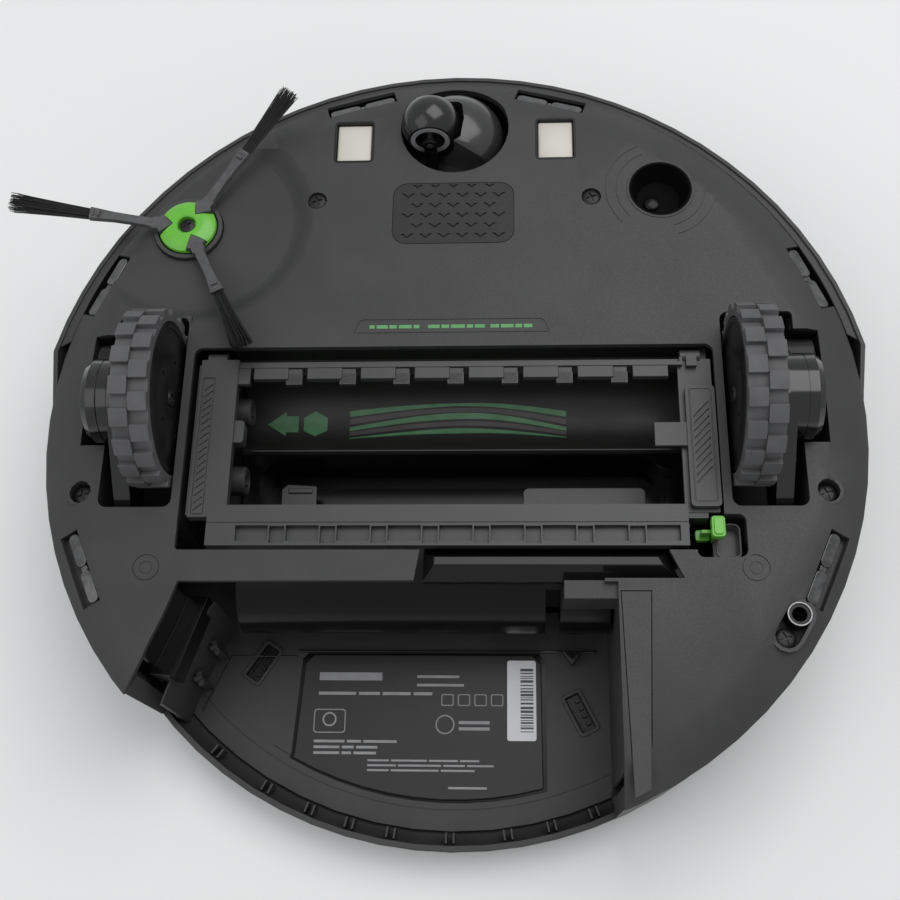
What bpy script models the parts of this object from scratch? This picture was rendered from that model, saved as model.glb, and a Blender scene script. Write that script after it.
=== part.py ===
"""Robot vacuum cleaner, lying on its lid with the underside up.

The origin is the centre of the round body on the lid's flat face. +Z points out of the
underside, +Y to the robot's front, where the bumper is, and +X to the right when the
underside is looked at from behind. The design is written in millimetres; the helpers
turn every length into metres.
"""
import math

import bmesh
import bpy
from mathutils import Matrix, Vector

MM = 0.001
GAP = 0.3                    # play between neighbouring pieces
RIM_SIDES = 72               # facets of the large round shells
ROUND_SIDES = 24             # facets of wheels and discs
SMALL_SIDES = 12             # facets of screws and pins

# Body: radii and heights of the stacked shells
LID_R = 165.0
LID_TOP = 18.0
LID_WALL = 2.5
LID_FLAT_R = 150.0
LID_ROUND = 15.0
DECK_TOP = 6.8
WALL_IN_R = 158.6
WALL_OUT_R = 160.4
WALL_TOP = 69.0
SKIN_R = 166.3
COVER_R = 166.8
COVER_TOP = 78.0
COVER_SKIN = 2.4
COVER_FLAT_R = 149.5
COVER_RIM_Z = 71.6
BUMPER_R = 174.2
BUMPER_Y = -2.2
BUMPER_TOP = 70.2
BUMPER_STRAIGHT_Y = 33.0
BUMPER_END = (166.3, 2.0)
BUMPER_TIP = (164.4, -0.8)
SHOULDER_Y = -8.0
UNDER_COVER = COVER_TOP - COVER_SKIN - GAP

# Drive wheels
WHEEL_Y = 3.0
WHEEL_Z = 85.8
WHEEL_R = 36.0
TYRE_IN_X = 111.3
TYRE_OUT_X = 126.0
TYRE_BORE_R = 31.0
SPINDLE_R = 3.0
PIVOT_Y = -44.0
PIVOT_Z = 63.0
PIVOT_R = 5.5
DRUM_Y = 3.2
DRUM_Z = 83.0
DRUM_R = 17.2
ARM_IN_X = 127.3
ARM_OUT_X = 134.4
DRUM_OUT_X = 145.0
MOTOR_Y = 26.2
MOTOR_Z = 71.0
MOTOR_R = 7.5

# Brush bay: two parallel tunnels and the frame that closes them
BAY_X = 106.6
BAY_FRONT_Y = 29.5
BAY_REAR_Y = -58.0
ROLLER_Z = 60.0
FRONT_ROLLER_Y = 8.0
REAR_ROLLER_Y = -23.0
FRONT_TUNNEL_R = 17.0
REAR_TUNNEL_R = 21.0
FRAME_HINGE_Y = 25.5
FRAME_HINGE_Z = 73.5
FRAME_TOP = 77.8
SHELF_Z = 72.2

# Caster, side brush, bin bay
CASTER_Y = 138.0
CASTER_SOCKET_R = 24.0
CASTER_TRAIL = 10.6
CASTER_WHEEL_R = 12.3
CASTER_WHEEL_Z = 80.0
SIDE_X = -116.0
SIDE_Y = 89.5
DISH_X = -112.0
DISH_Y = 92.0
DISH_R = 48.5
DISH_FLOOR = 73.2
BIN_FRONT_Y = -70.5
BIN_RIGHT_X = 65.0
BUTTON_Y = 52.0

CONTACTS = ((-44.5, 131.0), (44.5, 131.0))
SENSOR = (89.0, 104.0)
COVER_SCREWS = ((-59.4, 100.7), (59.4, 100.7))
WELL_SCREWS = ((-147.3, -33.7), (147.3, -33.7))
SLOT_HOLE = (132.0, -82.6)
SLOT_SCREW = (126.9, -90.9)
BLOWER = (98.0, -82.0)


def clear_scene():
    for item in list(bpy.data.objects):
        bpy.data.objects.remove(item, do_unlink=True)
    for store in (bpy.data.meshes, bpy.data.curves, bpy.data.materials, bpy.data.collections):
        for item in list(store):
            store.remove(item)


clear_scene()
PARTS = bpy.data.collections.new("robot_vacuum")
CUTTERS = bpy.data.collections.new("cutters")
for group in (PARTS, CUTTERS):
    bpy.context.scene.collection.children.link(group)


# ---------------------------------------------------------------- helpers
def material(name, colour, roughness, metallic=0.0):
    made = bpy.data.materials.new(name)
    made.use_nodes = True
    shader = made.node_tree.nodes["Principled BSDF"]
    shader.inputs["Base Color"].default_value = (*colour, 1.0)
    shader.inputs["Roughness"].default_value = roughness
    shader.inputs["Metallic"].default_value = metallic
    made.diffuse_color = (*colour, 1.0)
    return made


def place(name, mesh, look=None):
    """Put a mesh in the parts' collection, or with the cutters when it has no material."""
    made = bpy.data.objects.new(name, mesh)
    if look is None:
        CUTTERS.objects.link(made)
        made.hide_render = True
        made.display_type = "WIRE"
    else:
        PARTS.objects.link(made)
        mesh.materials.append(look)
    return made


def round_off(made, angle=35):
    made.data.shade_smooth()
    made.data.set_sharp_from_angle(angle=math.radians(angle))
    return made


def set_origin(made, point):
    """Move an object's origin to a point in millimetres, leaving its shape in place."""
    bpy.context.view_layer.update()
    target = Vector(point) * MM
    made.data.transform(Matrix.Translation(-target) @ made.matrix_world)
    made.matrix_world = Matrix.Translation(target)
    return made


def box(name, low, high, look=None, turn=0.0, bevel=0.0):
    """A block between two corners, turned about its own vertical middle line."""
    size = [h - l for l, h in zip(low, high)]
    middle = [(h + l) / 2 for l, h in zip(low, high)]
    shape = bmesh.new()
    bmesh.ops.create_cube(shape, size=1.0)
    bmesh.ops.scale(shape, vec=Vector(size) * MM, verts=shape.verts)
    mesh = bpy.data.meshes.new(name)
    shape.to_mesh(mesh)
    shape.free()
    made = place(name, mesh, look)
    made.location = Vector(middle) * MM
    made.rotation_euler.z = math.radians(turn)
    if bevel:
        edge = made.modifiers.new("edge", "BEVEL")
        edge.width = bevel * MM
        edge.segments = 2
    return made


AXIS_TURN = {"X": (0.0, math.pi / 2, 0.0), "Y": (-math.pi / 2, 0.0, 0.0), "Z": (0.0, 0.0, 0.0)}


def cylinder(name, start, length, radius, look=None, axis="Z", sides=ROUND_SIDES, end_radius=None):
    """A round bar from the centre of its first face, along an axis."""
    shape = bmesh.new()
    last = radius if end_radius is None else end_radius
    bmesh.ops.create_cone(shape, cap_ends=True, segments=sides, radius1=radius * MM,
                          radius2=last * MM, depth=length * MM)
    bmesh.ops.translate(shape, vec=(0, 0, length * MM / 2), verts=shape.verts)
    mesh = bpy.data.meshes.new(name)
    shape.to_mesh(mesh)
    shape.free()
    made = place(name, mesh, look)
    made.location = Vector(start) * MM
    made.rotation_euler = AXIS_TURN[axis]
    return round_off(made)


def turned(name, profile, look=None, centre=(0, 0, 0), axis="Z", sides=ROUND_SIDES, closed=True):
    """Turn a profile of (radius, height) points, outer side running from top to bottom."""
    shape = bmesh.new()
    points = [shape.verts.new((r * MM, 0, z * MM)) for r, z in profile]
    for first, second in zip(points, points[1:]):
        shape.edges.new((first, second))
    if closed:
        shape.edges.new((points[-1], points[0]))
    mesh = bpy.data.meshes.new(name)
    shape.to_mesh(mesh)
    shape.free()
    made = place(name, mesh, look)
    made.location = Vector(centre) * MM
    made.rotation_euler = AXIS_TURN[axis]
    lathe = made.modifiers.new("lathe", "SCREW")
    lathe.steps = sides
    lathe.render_steps = sides
    lathe.use_merge_vertices = True
    lathe.merge_threshold = 0.00001
    return made


def outline_mesh(name, loop, thickness):
    """Fill one closed outline in the XY plane and give it a thickness upwards."""
    curve = bpy.data.curves.new(name, "CURVE")
    curve.dimensions = "2D"
    curve.fill_mode = "BOTH"
    curve.extrude = thickness * MM / 2
    line = curve.splines.new("POLY")
    line.points.add(len(loop) - 1)
    for point, (x, y) in zip(line.points, loop):
        point.co = (x * MM, y * MM, 0, 1)
    line.use_cyclic_u = True
    guide = bpy.data.objects.new(name + "_guide", curve)
    bpy.context.scene.collection.objects.link(guide)
    bpy.context.view_layer.update()
    mesh = bpy.data.meshes.new_from_object(guide.evaluated_get(bpy.context.evaluated_depsgraph_get()))
    bpy.data.objects.remove(guide, do_unlink=True)
    shape = bmesh.new()
    shape.from_mesh(mesh)
    bmesh.ops.remove_doubles(shape, verts=shape.verts, dist=0.000001)
    bmesh.ops.recalc_face_normals(shape, faces=shape.faces)
    bmesh.ops.translate(shape, vec=(0, 0, thickness * MM / 2), verts=shape.verts)
    shape.to_mesh(mesh)
    shape.free()
    mesh.name = name
    return mesh


def slab(name, loop, low, high, look=None):
    """A flat outline (x, y) between two heights."""
    made = place(name, outline_mesh(name, loop, high - low), look)
    made.location.z = low * MM
    return made


def bar(name, loop, low_x, high_x, look=None):
    """A (y, z) section drawn out along X."""
    made = place(name, outline_mesh(name, loop, high_x - low_x), look)
    made.location.x = low_x * MM
    made.rotation_euler = (math.pi / 2, 0, math.pi / 2)
    return made


def combine(made, operation, others):
    for other in others:
        step = made.modifiers.new(other.name, "BOOLEAN")
        step.operation = operation
        step.object = other
        step.solver = "EXACT"
    return made


def cut(made, *cutters):
    return combine(made, "DIFFERENCE", cutters)


def join(made, *pieces):
    return combine(made, "UNION", pieces)


def arc(cx, cy, radius, start, end, steps):
    """Points on an arc, angles in degrees."""
    turns = [math.radians(start + (end - start) * i / steps) for i in range(steps + 1)]
    return [(cx + radius * math.cos(t), cy + radius * math.sin(t)) for t in turns]


def rounded(low, high, radius, steps=4):
    """A rectangle outline with round corners."""
    (x0, y0), (x1, y1) = low, high
    return (arc(x1 - radius, y1 - radius, radius, 0, 90, steps)
            + arc(x0 + radius, y1 - radius, radius, 90, 180, steps)
            + arc(x0 + radius, y0 + radius, radius, 180, 270, steps)
            + arc(x1 - radius, y0 + radius, radius, 270, 360, steps))


def stadium(first, second, radius, steps=6):
    """A slot outline round two centres."""
    angle = math.degrees(math.atan2(second[1] - first[1], second[0] - first[0]))
    return (arc(*second, radius, angle - 90, angle + 90, steps)
            + arc(*first, radius, angle + 90, angle + 270, steps))


def hull_of_circles(circles, steps=28):
    """The outline of a belt stretched round circles given as (x, y, radius)."""
    belt = []
    for i in range(steps):
        way = (math.cos(2 * math.pi * i / steps), math.sin(2 * math.pi * i / steps))
        reach = max(circles, key=lambda c: c[0] * way[0] + c[1] * way[1] + c[2])
        belt.append((reach[0] + reach[2] * way[0], reach[1] + reach[2] * way[1]))
    return belt


def mirror_x(loop, side):
    return [(side * x, y) for x, y in loop]


# ---------------------------------------------------------------- materials
SHELL = material("shell_charcoal", (0.085, 0.088, 0.095), 0.55)
DECK = material("deck_charcoal", (0.06, 0.062, 0.068), 0.6)
GLOSS = material("gloss_black", (0.012, 0.012, 0.014), 0.18)
FRAME = material("frame_grey", (0.13, 0.135, 0.145), 0.5)
TYRE = material("tyre_grey", (0.17, 0.17, 0.175), 0.75)
HUB = material("hub_black", (0.03, 0.03, 0.033), 0.45)
LIME = material("lime_green", (0.22, 0.72, 0.06), 0.32)
RUBBER = material("rubber_grey", (0.12, 0.12, 0.12), 0.7)
BRISTLE = material("bristle_black", (0.02, 0.02, 0.02), 0.6)
NICKEL = material("nickel", (0.75, 0.72, 0.68), 0.25, 1.0)
STEEL = material("steel", (0.45, 0.45, 0.46), 0.35, 1.0)
CLEAR = material("window_clear", (0.35, 0.36, 0.38), 0.1)
BOARD = material("board_green", (0.02, 0.16, 0.07), 0.5)
CELL = material("cell_blue", (0.05, 0.08, 0.14), 0.5)
LABEL = material("label_dark", (0.04, 0.04, 0.043), 0.45)


# ---------------------------------------------------------------- lid and button
def lid_round(inset, steps=3):
    """The quarter round between the lid's skirt and its flat face, running downwards."""
    middle_r = LID_FLAT_R
    reach = LID_R - LID_FLAT_R - inset
    drop = LID_ROUND - inset
    turns = [math.pi / 2 * i / steps for i in range(steps + 1)]
    return [(middle_r + reach * math.cos(t), LID_ROUND - drop * math.sin(t)) for t in turns]


def build_lid():
    inner = lid_round(LID_WALL)[::-1]
    outer = lid_round(0.0)
    profile = [(0, LID_WALL)] + inner + [(LID_R - LID_WALL, LID_TOP), (LID_R, LID_TOP)] + outer + [(0, 0)]
    lid = turned("top_cover", profile, SHELL, sides=RIM_SIDES, closed=False)
    cut(lid, cylinder("button_hole", (0, BUTTON_Y, -1), 6, 9.4))
    button = turned("clean_button", [(0, 4.8), (6.0, 4.8), (6.0, 2.6), (9.0, 2.6), (9.0, 1.1), (8.5,
            0.6), (0, 0.6)],
                    GLOSS, sides=ROUND_SIDES, closed=False)
    button.location = (0, BUTTON_Y * MM, 0)


# ---------------------------------------------------------------- chassis
BIN_LEFT_EDGE = [(-104.0, BIN_FRONT_Y), (-108.5, -84.0), (-115.0, -100.0), (-123.5, -114.5)]


def bin_bay_outline():
    return BIN_LEFT_EDGE + [(-140, -150), (-140, -200), (BIN_RIGHT_X, -200), (BIN_RIGHT_X, BIN_FRONT_Y)]


def build_chassis():
    profile = [(0, DECK_TOP), (154.5, DECK_TOP), (157.3, 10.5), (157.3, 21.0), (WALL_IN_R, 21.0),
               (WALL_IN_R, WALL_TOP), (WALL_OUT_R, WALL_TOP), (WALL_OUT_R, 18.9), (159.4, 18.9),
               (159.4, 10.0), (154.8, 5.4), (147.5, 3.0), (0, 3.0)]
    chassis = turned("chassis", profile, DECK, sides=60, closed=False)
    skin = turned("rear_skin", [(SKIN_R, WALL_TOP), (SKIN_R - 1.0, 18.9), (WALL_OUT_R - 1.0, 18.9),
                                (WALL_OUT_R - 1.0, WALL_TOP)], sides=RIM_SIDES)
    cut(skin, box("front_half", (-200, SHOULDER_Y, 0), (200, 200, 100)))
    join(chassis, skin)
    cut(chassis,
        slab("bin_bay_space", bin_bay_outline(), DECK_TOP, 100),
        cylinder("caster_socket_space", (0, CASTER_Y, 43.7), 40, CASTER_SOCKET_R + 1.8, sides=28),
        cylinder("side_brush_space", (SIDE_X, SIDE_Y, 67.8), 12, 15.5),
        slab("slot_boss_space", stadium(SLOT_HOLE, SLOT_SCREW, 6.6), 65.6, 80),
        cylinder("button_well", (0, BUTTON_Y, 2), 2.6, 9.6),
        cylinder("button_stem_way", (0, BUTTON_Y, 4), 4, 6.6))
    for index, (x, y, turn) in enumerate(((-83.3, -87.2, -33.0), (53.1, -107.8, 27.0))):
        cut(chassis, box(f"socket_way_{index}", (x - 3.2, y - 8.0, 4.4), (x + 3.2, y + 8.0, 9), turn=turn))


BUMPER_FACE = [(0.8, BUMPER_TOP), (0.0, 68.4), (0.8, 58.0), (3.0, 46.0), (5.2, 32.0), (6.2, 19.6)]
BUMPER_WALL = [1.6, 1.7, 2.0, 2.6, 2.6, 1.8]


def bumper_section(x, y, lean):
    """The bumper's wall at a spot of its rim: down its face and up its back."""
    outward = Vector((x, y - BUMPER_Y, 0)).normalized()
    face = [(offset * lean, z) for offset, z in BUMPER_FACE]
    back = [(offset + wall, z) for (offset, z), wall in zip(face[::-1], BUMPER_WALL)]
    return [(Vector((x, y, z)) - outward * offset) * MM for offset, z in face + back]


def build_bumper():
    """The bumper's wall follows a circle, turns in at both ends, and leans in towards the lid."""
    first = math.degrees(math.asin((BUMPER_STRAIGHT_Y - BUMPER_Y) / BUMPER_R))
    rim = [(x, y, 1.0) for x, y in arc(0, BUMPER_Y, BUMPER_R, first, 180 - first, 32)]
    ends = [(*BUMPER_TIP, 0.3), (*BUMPER_END, 0.3)]
    stations = ends + rim + [(-x, y, lean) for x, y, lean in ends[::-1]]
    shape = bmesh.new()
    rings = [[shape.verts.new(point) for point in bumper_section(*station)] for station in stations]
    for ring, following in zip(rings, rings[1:]):
        for i, corner in enumerate(ring):
            shape.faces.new((corner, following[i], following[i - 1], ring[i - 1]))
    shape.faces.new(rings[0])
    shape.faces.new(rings[-1][::-1])
    bmesh.ops.recalc_face_normals(shape, faces=shape.faces)
    mesh = bpy.data.meshes.new("bumper")
    shape.to_mesh(mesh)
    shape.free()
    round_off(place("bumper", mesh, SHELL))
    for side, word in ((-1, "left"), (1, "right")):
        middle = 90 - side * 38
        bow = [(161.6, -9), (165.0, -4), (165.0, 4), (161.6, 9)]
        outer = [(r * math.cos(math.radians(middle + a)), r * math.sin(math.radians(middle + a))) for r,
                a in bow]
        inner = [(x * (1 - 0.6 / 165), y * (1 - 0.6 / 165)) for x, y in outer]
        slab(f"bumper_spring_{word}", outer + inner[::-1], 40, 48, STEEL)


# ---------------------------------------------------------------- underside cover
def rim_spot(angle, radius):
    return (radius * math.cos(math.radians(angle)), radius * math.sin(math.radians(angle)))


CLIFF_SPOTS = {"front_right": (74.6, 160.4), "right": (22.8, 163.4), "rear_right": (-24.2, 158.3),
               "front_left": (105.4, 160.4), "left": (157.2, 163.4), "rear_left": (204.2, 158.3)}
CHAMFER_SLOPE = math.atan2(COVER_TOP - COVER_RIM_Z, 165.6 - COVER_FLAT_R)


def on_chamfer(name, spot, length, width, low, high, look=None, shift=0.0):
    """A block lying in the rim's slope at a spot (angle, radius), measured from the slope."""
    angle, radius = spot
    made = box(name, (-width / 2, -length / 2, low), (width / 2, length / 2, high), look)
    middle = Vector((shift, 0, (low + high) / 2)) * MM
    x, y = rim_spot(angle, radius)
    z = COVER_TOP - (radius - COVER_FLAT_R) * math.tan(CHAMFER_SLOPE)
    tilt = Matrix.Rotation(math.radians(angle), 4, "Z") @ Matrix.Rotation(CHAMFER_SLOPE, 4, "Y")
    made.matrix_world = Matrix.Translation(Vector((x, y, z)) * MM) @ tilt @ Matrix.Translation(middle)
    return made


def well_outline(side, grow):
    """The plan of a wheel well: a long box with a pocket outboard for the gearbox."""
    loop = [(109.7 - grow, -41.5 - grow), (117.0 - grow, -41.5 - grow), (117.0 - grow, -51.5 - grow),
            (139.6 + grow, -51.5 - grow), (139.6 + grow, -16.0 - grow), (149.9 + grow, -16.0 - grow),
            (149.9 + grow, 38.0 + grow), (139.6 + grow, 38.0 + grow), (139.6 + grow, 46.5 + grow),
            (109.7 - grow, 46.5 + grow)]
    return mirror_x(loop, side)


def well_mouth(side):
    loop = [(110.0, -40.4), (139.5, -40.4), (139.5, -14.0), (149.7, -14.0), (149.7, 36.0),
            (139.5, 36.0), (139.5, 44.0), (110.0, 44.0)]
    return mirror_x(loop, side)


def above_slope(name, radius, height):
    """All the space above a cone that runs outwards and down as steeply as the rim's slope."""
    far = 60.0
    drop = far * math.tan(CHAMFER_SLOPE)
    return turned(name, [(radius + far, 100), (radius + far, height - drop), (radius, height), (radius, 100)],
                  sides=RIM_SIDES)


def dish_block_outline():
    """A round block under the side brush, kept inside the rim."""
    block = []
    for x, y in arc(DISH_X, DISH_Y, DISH_R + 2.0, 0, 345, 23):
        reach = min(1.0, 163.0 / math.hypot(x, y))
        block.append((x * reach, y * reach))
    return block


def build_cover():
    profile = [(0, COVER_TOP), (COVER_FLAT_R, COVER_TOP), (165.6, COVER_RIM_Z), (COVER_R, 70.6),
               (COVER_R, WALL_TOP + GAP), (164.2, WALL_TOP + GAP), (163.6, 69.9),
               (148.9, COVER_TOP - COVER_SKIN), (0, COVER_TOP - COVER_SKIN)]
    cover = turned("bottom_cover", profile, SHELL, sides=RIM_SIDES, closed=False)
    dish_block = slab("dish_block", dish_block_outline(), 71.0, 76.5)
    cut(dish_block, above_slope("above_chamfer", COVER_FLAT_R, COVER_TOP - 0.4))
    join(cover, dish_block)
    for index, (x, y) in enumerate(WELL_SCREWS):
        join(cover, cylinder(f"well_boss_{index}", (x, y, 62.5), 14, 5.8, sides=SMALL_SIDES))
    join(cover, slab("slot_boss", stadium(SLOT_HOLE, SLOT_SCREW, 6.2), 66.0, 76.5))

    tools = [turned("rim_relief", [(200, 70.5), (200, 60), (162.4, 60), (162.4, 70.5)], sides=RIM_SIDES)]
    cut(tools[0], box("relief_rear", (-220, -220, 50), (220, SHOULDER_Y, 80)))
    tools.append(turned("dish", [(0, 90), (DISH_R, 90), (DISH_R, 78.1), (DISH_R - 6.5, DISH_FLOOR), (0,
            DISH_FLOOR)],
                        centre=(DISH_X, DISH_Y, 0), sides=28, closed=False))
    tools.append(cylinder("side_hub_hole", (SIDE_X, SIDE_Y, 60), 30, 15.4))
    tools.append(cylinder("caster_hole", (0, CASTER_Y, 70), 12, CASTER_SOCKET_R, sides=36))
    tools.append(cylinder("sensor_hole", (*SENSOR, 70), 12, 14.6))
    tools.append(slab("pad_pocket", rounded((-26.3, 78.2), (26.3, 108.8), 6.3), 76.8, 80))
    tools.append(slab("strip_pocket", strip_outline(GAP), 76.8, 80))
    for x, y in CONTACTS:
        tools.append(box("contact_hole", (x - 8.0, y - 10.0, 70), (x + 8.0, y + 10.0, 80)))
    for x, y in COVER_SCREWS:
        tools.append(cylinder("screw_seat", (x, y, 76.2), 4, 4.3, sides=SMALL_SIDES))
        tools.append(cylinder("screw_way", (x, y, 70), 10, 1.9, sides=SMALL_SIDES))
    for x, y in WELL_SCREWS:
        tools.append(cylinder("well_screw_bore", (x, y, 64.6), 20, 4.6, sides=SMALL_SIDES))
        tools.append(cylinder("well_screw_way", (x, y, 60), 10, 1.9, sides=SMALL_SIDES))
    tools.append(slab("slot_bore", stadium(SLOT_HOLE, SLOT_SCREW, 4.8), 68.6, 80))
    tools.append(cylinder("slot_screw_way", (*SLOT_SCREW, 60), 20, 1.9, sides=SMALL_SIDES))
    tools.append(cylinder("slot_tube_way", (*SLOT_HOLE, 60), 20, 2.6, sides=SMALL_SIDES))
    tools.append(slab("brush_bay_hole", brush_bay_outline(), 60, 90))
    tools.append(slab("bin_bay_hole", bin_bay_outline() + [(43.0, BIN_FRONT_Y), (43.0, -70.0)], 60, 90))
    tools.append(slab("wedge_hole", [(-10.5, -57.0), (84.4, -57.0), (90.0, -69.0), (90, -69.2),
                                     (60.0, -69.2), (60, -71.5), (-13.0, -71.5)], 60, 90))
    for side in (-1, 1):
        tools.append(slab("well_hole", well_mouth(side), 60, 90))
    for word, spot in CLIFF_SPOTS.items():
        tools.append(on_chamfer(f"cliff_hole_{word}", spot, 31.5, 8.4, -9, 5))
    cut(cover, *tools)


def brush_bay_outline():
    return [(-BAY_X, BAY_FRONT_Y), (-BAY_X, BAY_REAR_Y), (95.5, BAY_REAR_Y), (95.5, -61.0),
            (114.7, -61.0), (114.7, -43.6), (BAY_X, -43.6), (BAY_X, BAY_FRONT_Y)]


def strip_outline(grow=0.0):
    return [(66.0 - grow, -74.3 + grow), (77.3 + grow, -74.3 + grow), (74.2 + grow, -146.6 - grow),
            (68.2 - grow, -150.0 - grow)]


def build_cover_trim():
    for (x, y), word in zip(CONTACTS, ("left", "right")):
        box(f"charging_contact_{word}", (x - 7.6, y - 9.6, 74.4), (x + 7.6, y + 9.6, 76.6), NICKEL, bevel=0.5)
    slab("chevron_pad", rounded((-26.0, 78.5), (26.0, 108.5), 6.0), 77.1, 78.0, FRAME)
    slab("side_strip", strip_outline(), 77.1, 78.0, SHELL)
    for word, spot in CLIFF_SPOTS.items():
        on_chamfer(f"cliff_window_{word}", spot, 30.5, 5.2, -3.2, -0.8, CLEAR, shift=-1.0)
    turned("floor_sensor", [(0, 68.0), (9.0, 68.4), (12.0, 74.0), (12.4, 77.9), (14.2, 77.9), (14.2, 71.0),
                            (9.5, 66.0), (0, 66.0)], HUB, centre=(*SENSOR, 0), closed=False)


def screw(name, x, y, head_low, head_high, shank_low, head_r=3.9):
    """A pan-head screw with a slightly domed head."""
    return turned(name, [(0, head_high), (head_r * 0.7, head_high), (head_r, head_high - 0.5), (head_r,
            head_low),
                         (1.5, head_low), (1.5, shank_low), (0, shank_low)],
                  STEEL, centre=(x, y, 0), sides=SMALL_SIDES, closed=False)


def build_screws():
    for (x, y), word in zip(COVER_SCREWS, ("left", "right")):
        screw(f"cover_screw_{word}", x, y, 76.5, 77.8, 66.0)
    for (x, y), word in zip(WELL_SCREWS, ("left", "right")):
        screw(f"recessed_screw_{word}", x, y, 64.9, 66.6, 57.0, head_r=3.7)
    screw("slot_screw", *SLOT_SCREW, 68.9, 70.6, 60.0)


# ---------------------------------------------------------------- brush bay
def tunnel_line():
    """The two tunnels' ceilings as one line from front to rear."""
    gap = REAR_ROLLER_Y - FRONT_ROLLER_Y
    along = (REAR_TUNNEL_R ** 2 - FRONT_TUNNEL_R ** 2 - gap ** 2) / (2 * gap)
    ridge_y = FRONT_ROLLER_Y - along
    ridge_z = ROLLER_Z - math.sqrt(FRONT_TUNNEL_R ** 2 - along ** 2)
    front_end = math.degrees(math.atan2(ridge_z - ROLLER_Z, ridge_y - FRONT_ROLLER_Y))
    rear_start = math.degrees(math.atan2(ridge_z - ROLLER_Z, ridge_y - REAR_ROLLER_Y))
    front = arc(FRONT_ROLLER_Y, ROLLER_Z, FRONT_TUNNEL_R, 0, front_end, 8)
    rear = arc(REAR_ROLLER_Y, ROLLER_Z, REAR_TUNNEL_R, rear_start, -180, 8)
    return front + rear[1:]


def build_brush_housing():
    top = UNDER_COVER
    line = [(BAY_FRONT_Y, top), (BAY_FRONT_Y, 66.0)] + tunnel_line() + [(-46.0, 66.0), (-46.0, SHELF_Z)]
    section = line + [(-55.0, SHELF_Z), (-58.5, 66.0), (-66.0, 58.1)] + arc(-60.0, 38.0, 21.0, 106, 262, 10) \
        + [(-40.0, 17.0), (0.0, 22.0), (24.0, 38.0), (31.2, 50.0), (31.2, top)]
    housing = bar("brush_housing", section, -90.2, 102.4, GLOSS)
    wedge = bar("bay_wedge", [(-56.0, 60.0), (-58.3, 70.0), (-58.3, 77.2), (-62.0, 77.4), (-68.4, 73.0),
                              (-68.4, 66.0), (-60.0, 50.0)], -9.8, 83.6)
    wall = box("end_wall", (102.0, -46.0, 24.0), (104.6, 31.2, SHELF_Z))
    join(housing, wedge, wall)
    cut(housing,
        slab("suction_mouth", stadium((-67.0, -21.0), (73.0, -21.0), 12.0), 20.5, 56),
        box("suction_duct", (-70.0, -90.0, 20.5), (55.0, -20.0, 30.0)),
        box("tab_pocket", (94.0, -61.0, 60.0), (108.0, -43.6, 80.0)),
        box("bulge_end_left", (-120.0, -90.0, 10), (-86.0, -47.0, 74)),
        box("bulge_end_right", (63.8, -90.0, 10), (120.0, -47.0, 74)),
        box("bulge_step", (38.0, -90.0, 10), (44.0, -68.0, 74)))


def build_brush_drive():
    box("brush_drive_gearbox", (-104.3, -41.0, 40.0), (-90.6, 22.2, 72.0), HUB, bevel=1.0)
    for y, word in ((FRONT_ROLLER_Y, "front"), (REAR_ROLLER_Y, "rear")):
        made = cylinder(f"roller_socket_{word}", (-90.2, y, ROLLER_Z), 6.2, 6.0, FRAME, axis="X", sides=24)
        cut(made, box(f"socket_square_{word}", (-87.0, y - 2.6, ROLLER_Z - 2.6), (-80.0, y + 2.6,
                ROLLER_Z + 2.6)))


COMB_PITCH = 22.15
TOOTH_START = -81.2
TAB_START = -89.8
WINDOW_PITCH = 20.0
WINDOW_START = -83.3
WINDOW_WIDTH = 12.9


def build_comb():
    """The frame's front bar: wide teeth, with a shorter and lower tab before each."""
    comb = box("brush_frame", (-91.0, 20.5, 73.8), (94.0, 24.0, 77.2), FRAME)
    for index in range(8):
        tab_x = TAB_START + COMB_PITCH * index
        tooth_x = TOOTH_START + COMB_PITCH * index
        tab = box(f"comb_tab_{index}", (tab_x, 13.2, 74.4), (tab_x + 6.6, 18.0, 76.4))
        tooth = box(f"comb_tooth_{index}", (tooth_x, 15.4, 74.1), (min(tooth_x + 14.4, 92.8), 21.0, 76.9))
        join(comb, tab, tooth)
    return comb


def build_brush_frame():
    """The frame that closes the brush bay, hinged at the bay's front edge."""
    frame = build_comb()
    left = box("left_arm", (-103.0, -44.5, 73.2), (-87.5, 24.0, FRAME_TOP))
    right = box("right_arm", (92.2, -42.0, 72.6), (105.6, 24.0, 75.0))
    rear = box("rear_bar", (-95.0, -56.2, 73.0), (92.8, -39.5, FRAME_TOP))
    tail = box("tab_bracket", (91.0, -44.2, 66.0), (101.0, -41.5, 74.6))
    knuckles = [cylinder(f"knuckle_{i}", (x, FRAME_HINGE_Y, FRAME_HINGE_Z), 8.0, 2.9, axis="X", sides=16)
                for i, x in enumerate((-101.0, 93.4))]
    join(frame, left, right, rear, tail, *knuckles)
    for index in range(9):
        x = WINDOW_START + WINDOW_PITCH * index
        cut(frame, box(f"frame_window_{index}", (x, -54.4, 75.0), (x + WINDOW_WIDTH, -48.0, 80)))
    cover = slab("bearing_cover", rounded((94.2, -40.6), (106.0, 11.0), 1.6, steps=2), 75.3, 78.2, FRAME)
    join(cover, box("cover_tab", (81.5, -15.0, 75.6), (95.5, -5.0, 77.6)))
    tab = slab("release_tab", rounded((101.3, -53.0), (106.5, -44.6), 1.2, steps=2), 64.0, 79.6, LIME)
    join(tab, box("tab_foot", (96.5, -51.0, 64.0), (102.2, -46.5, 67.0)))
    for made in (frame, cover):
        set_origin(made, (0, FRAME_HINGE_Y, FRAME_HINGE_Z))


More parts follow.
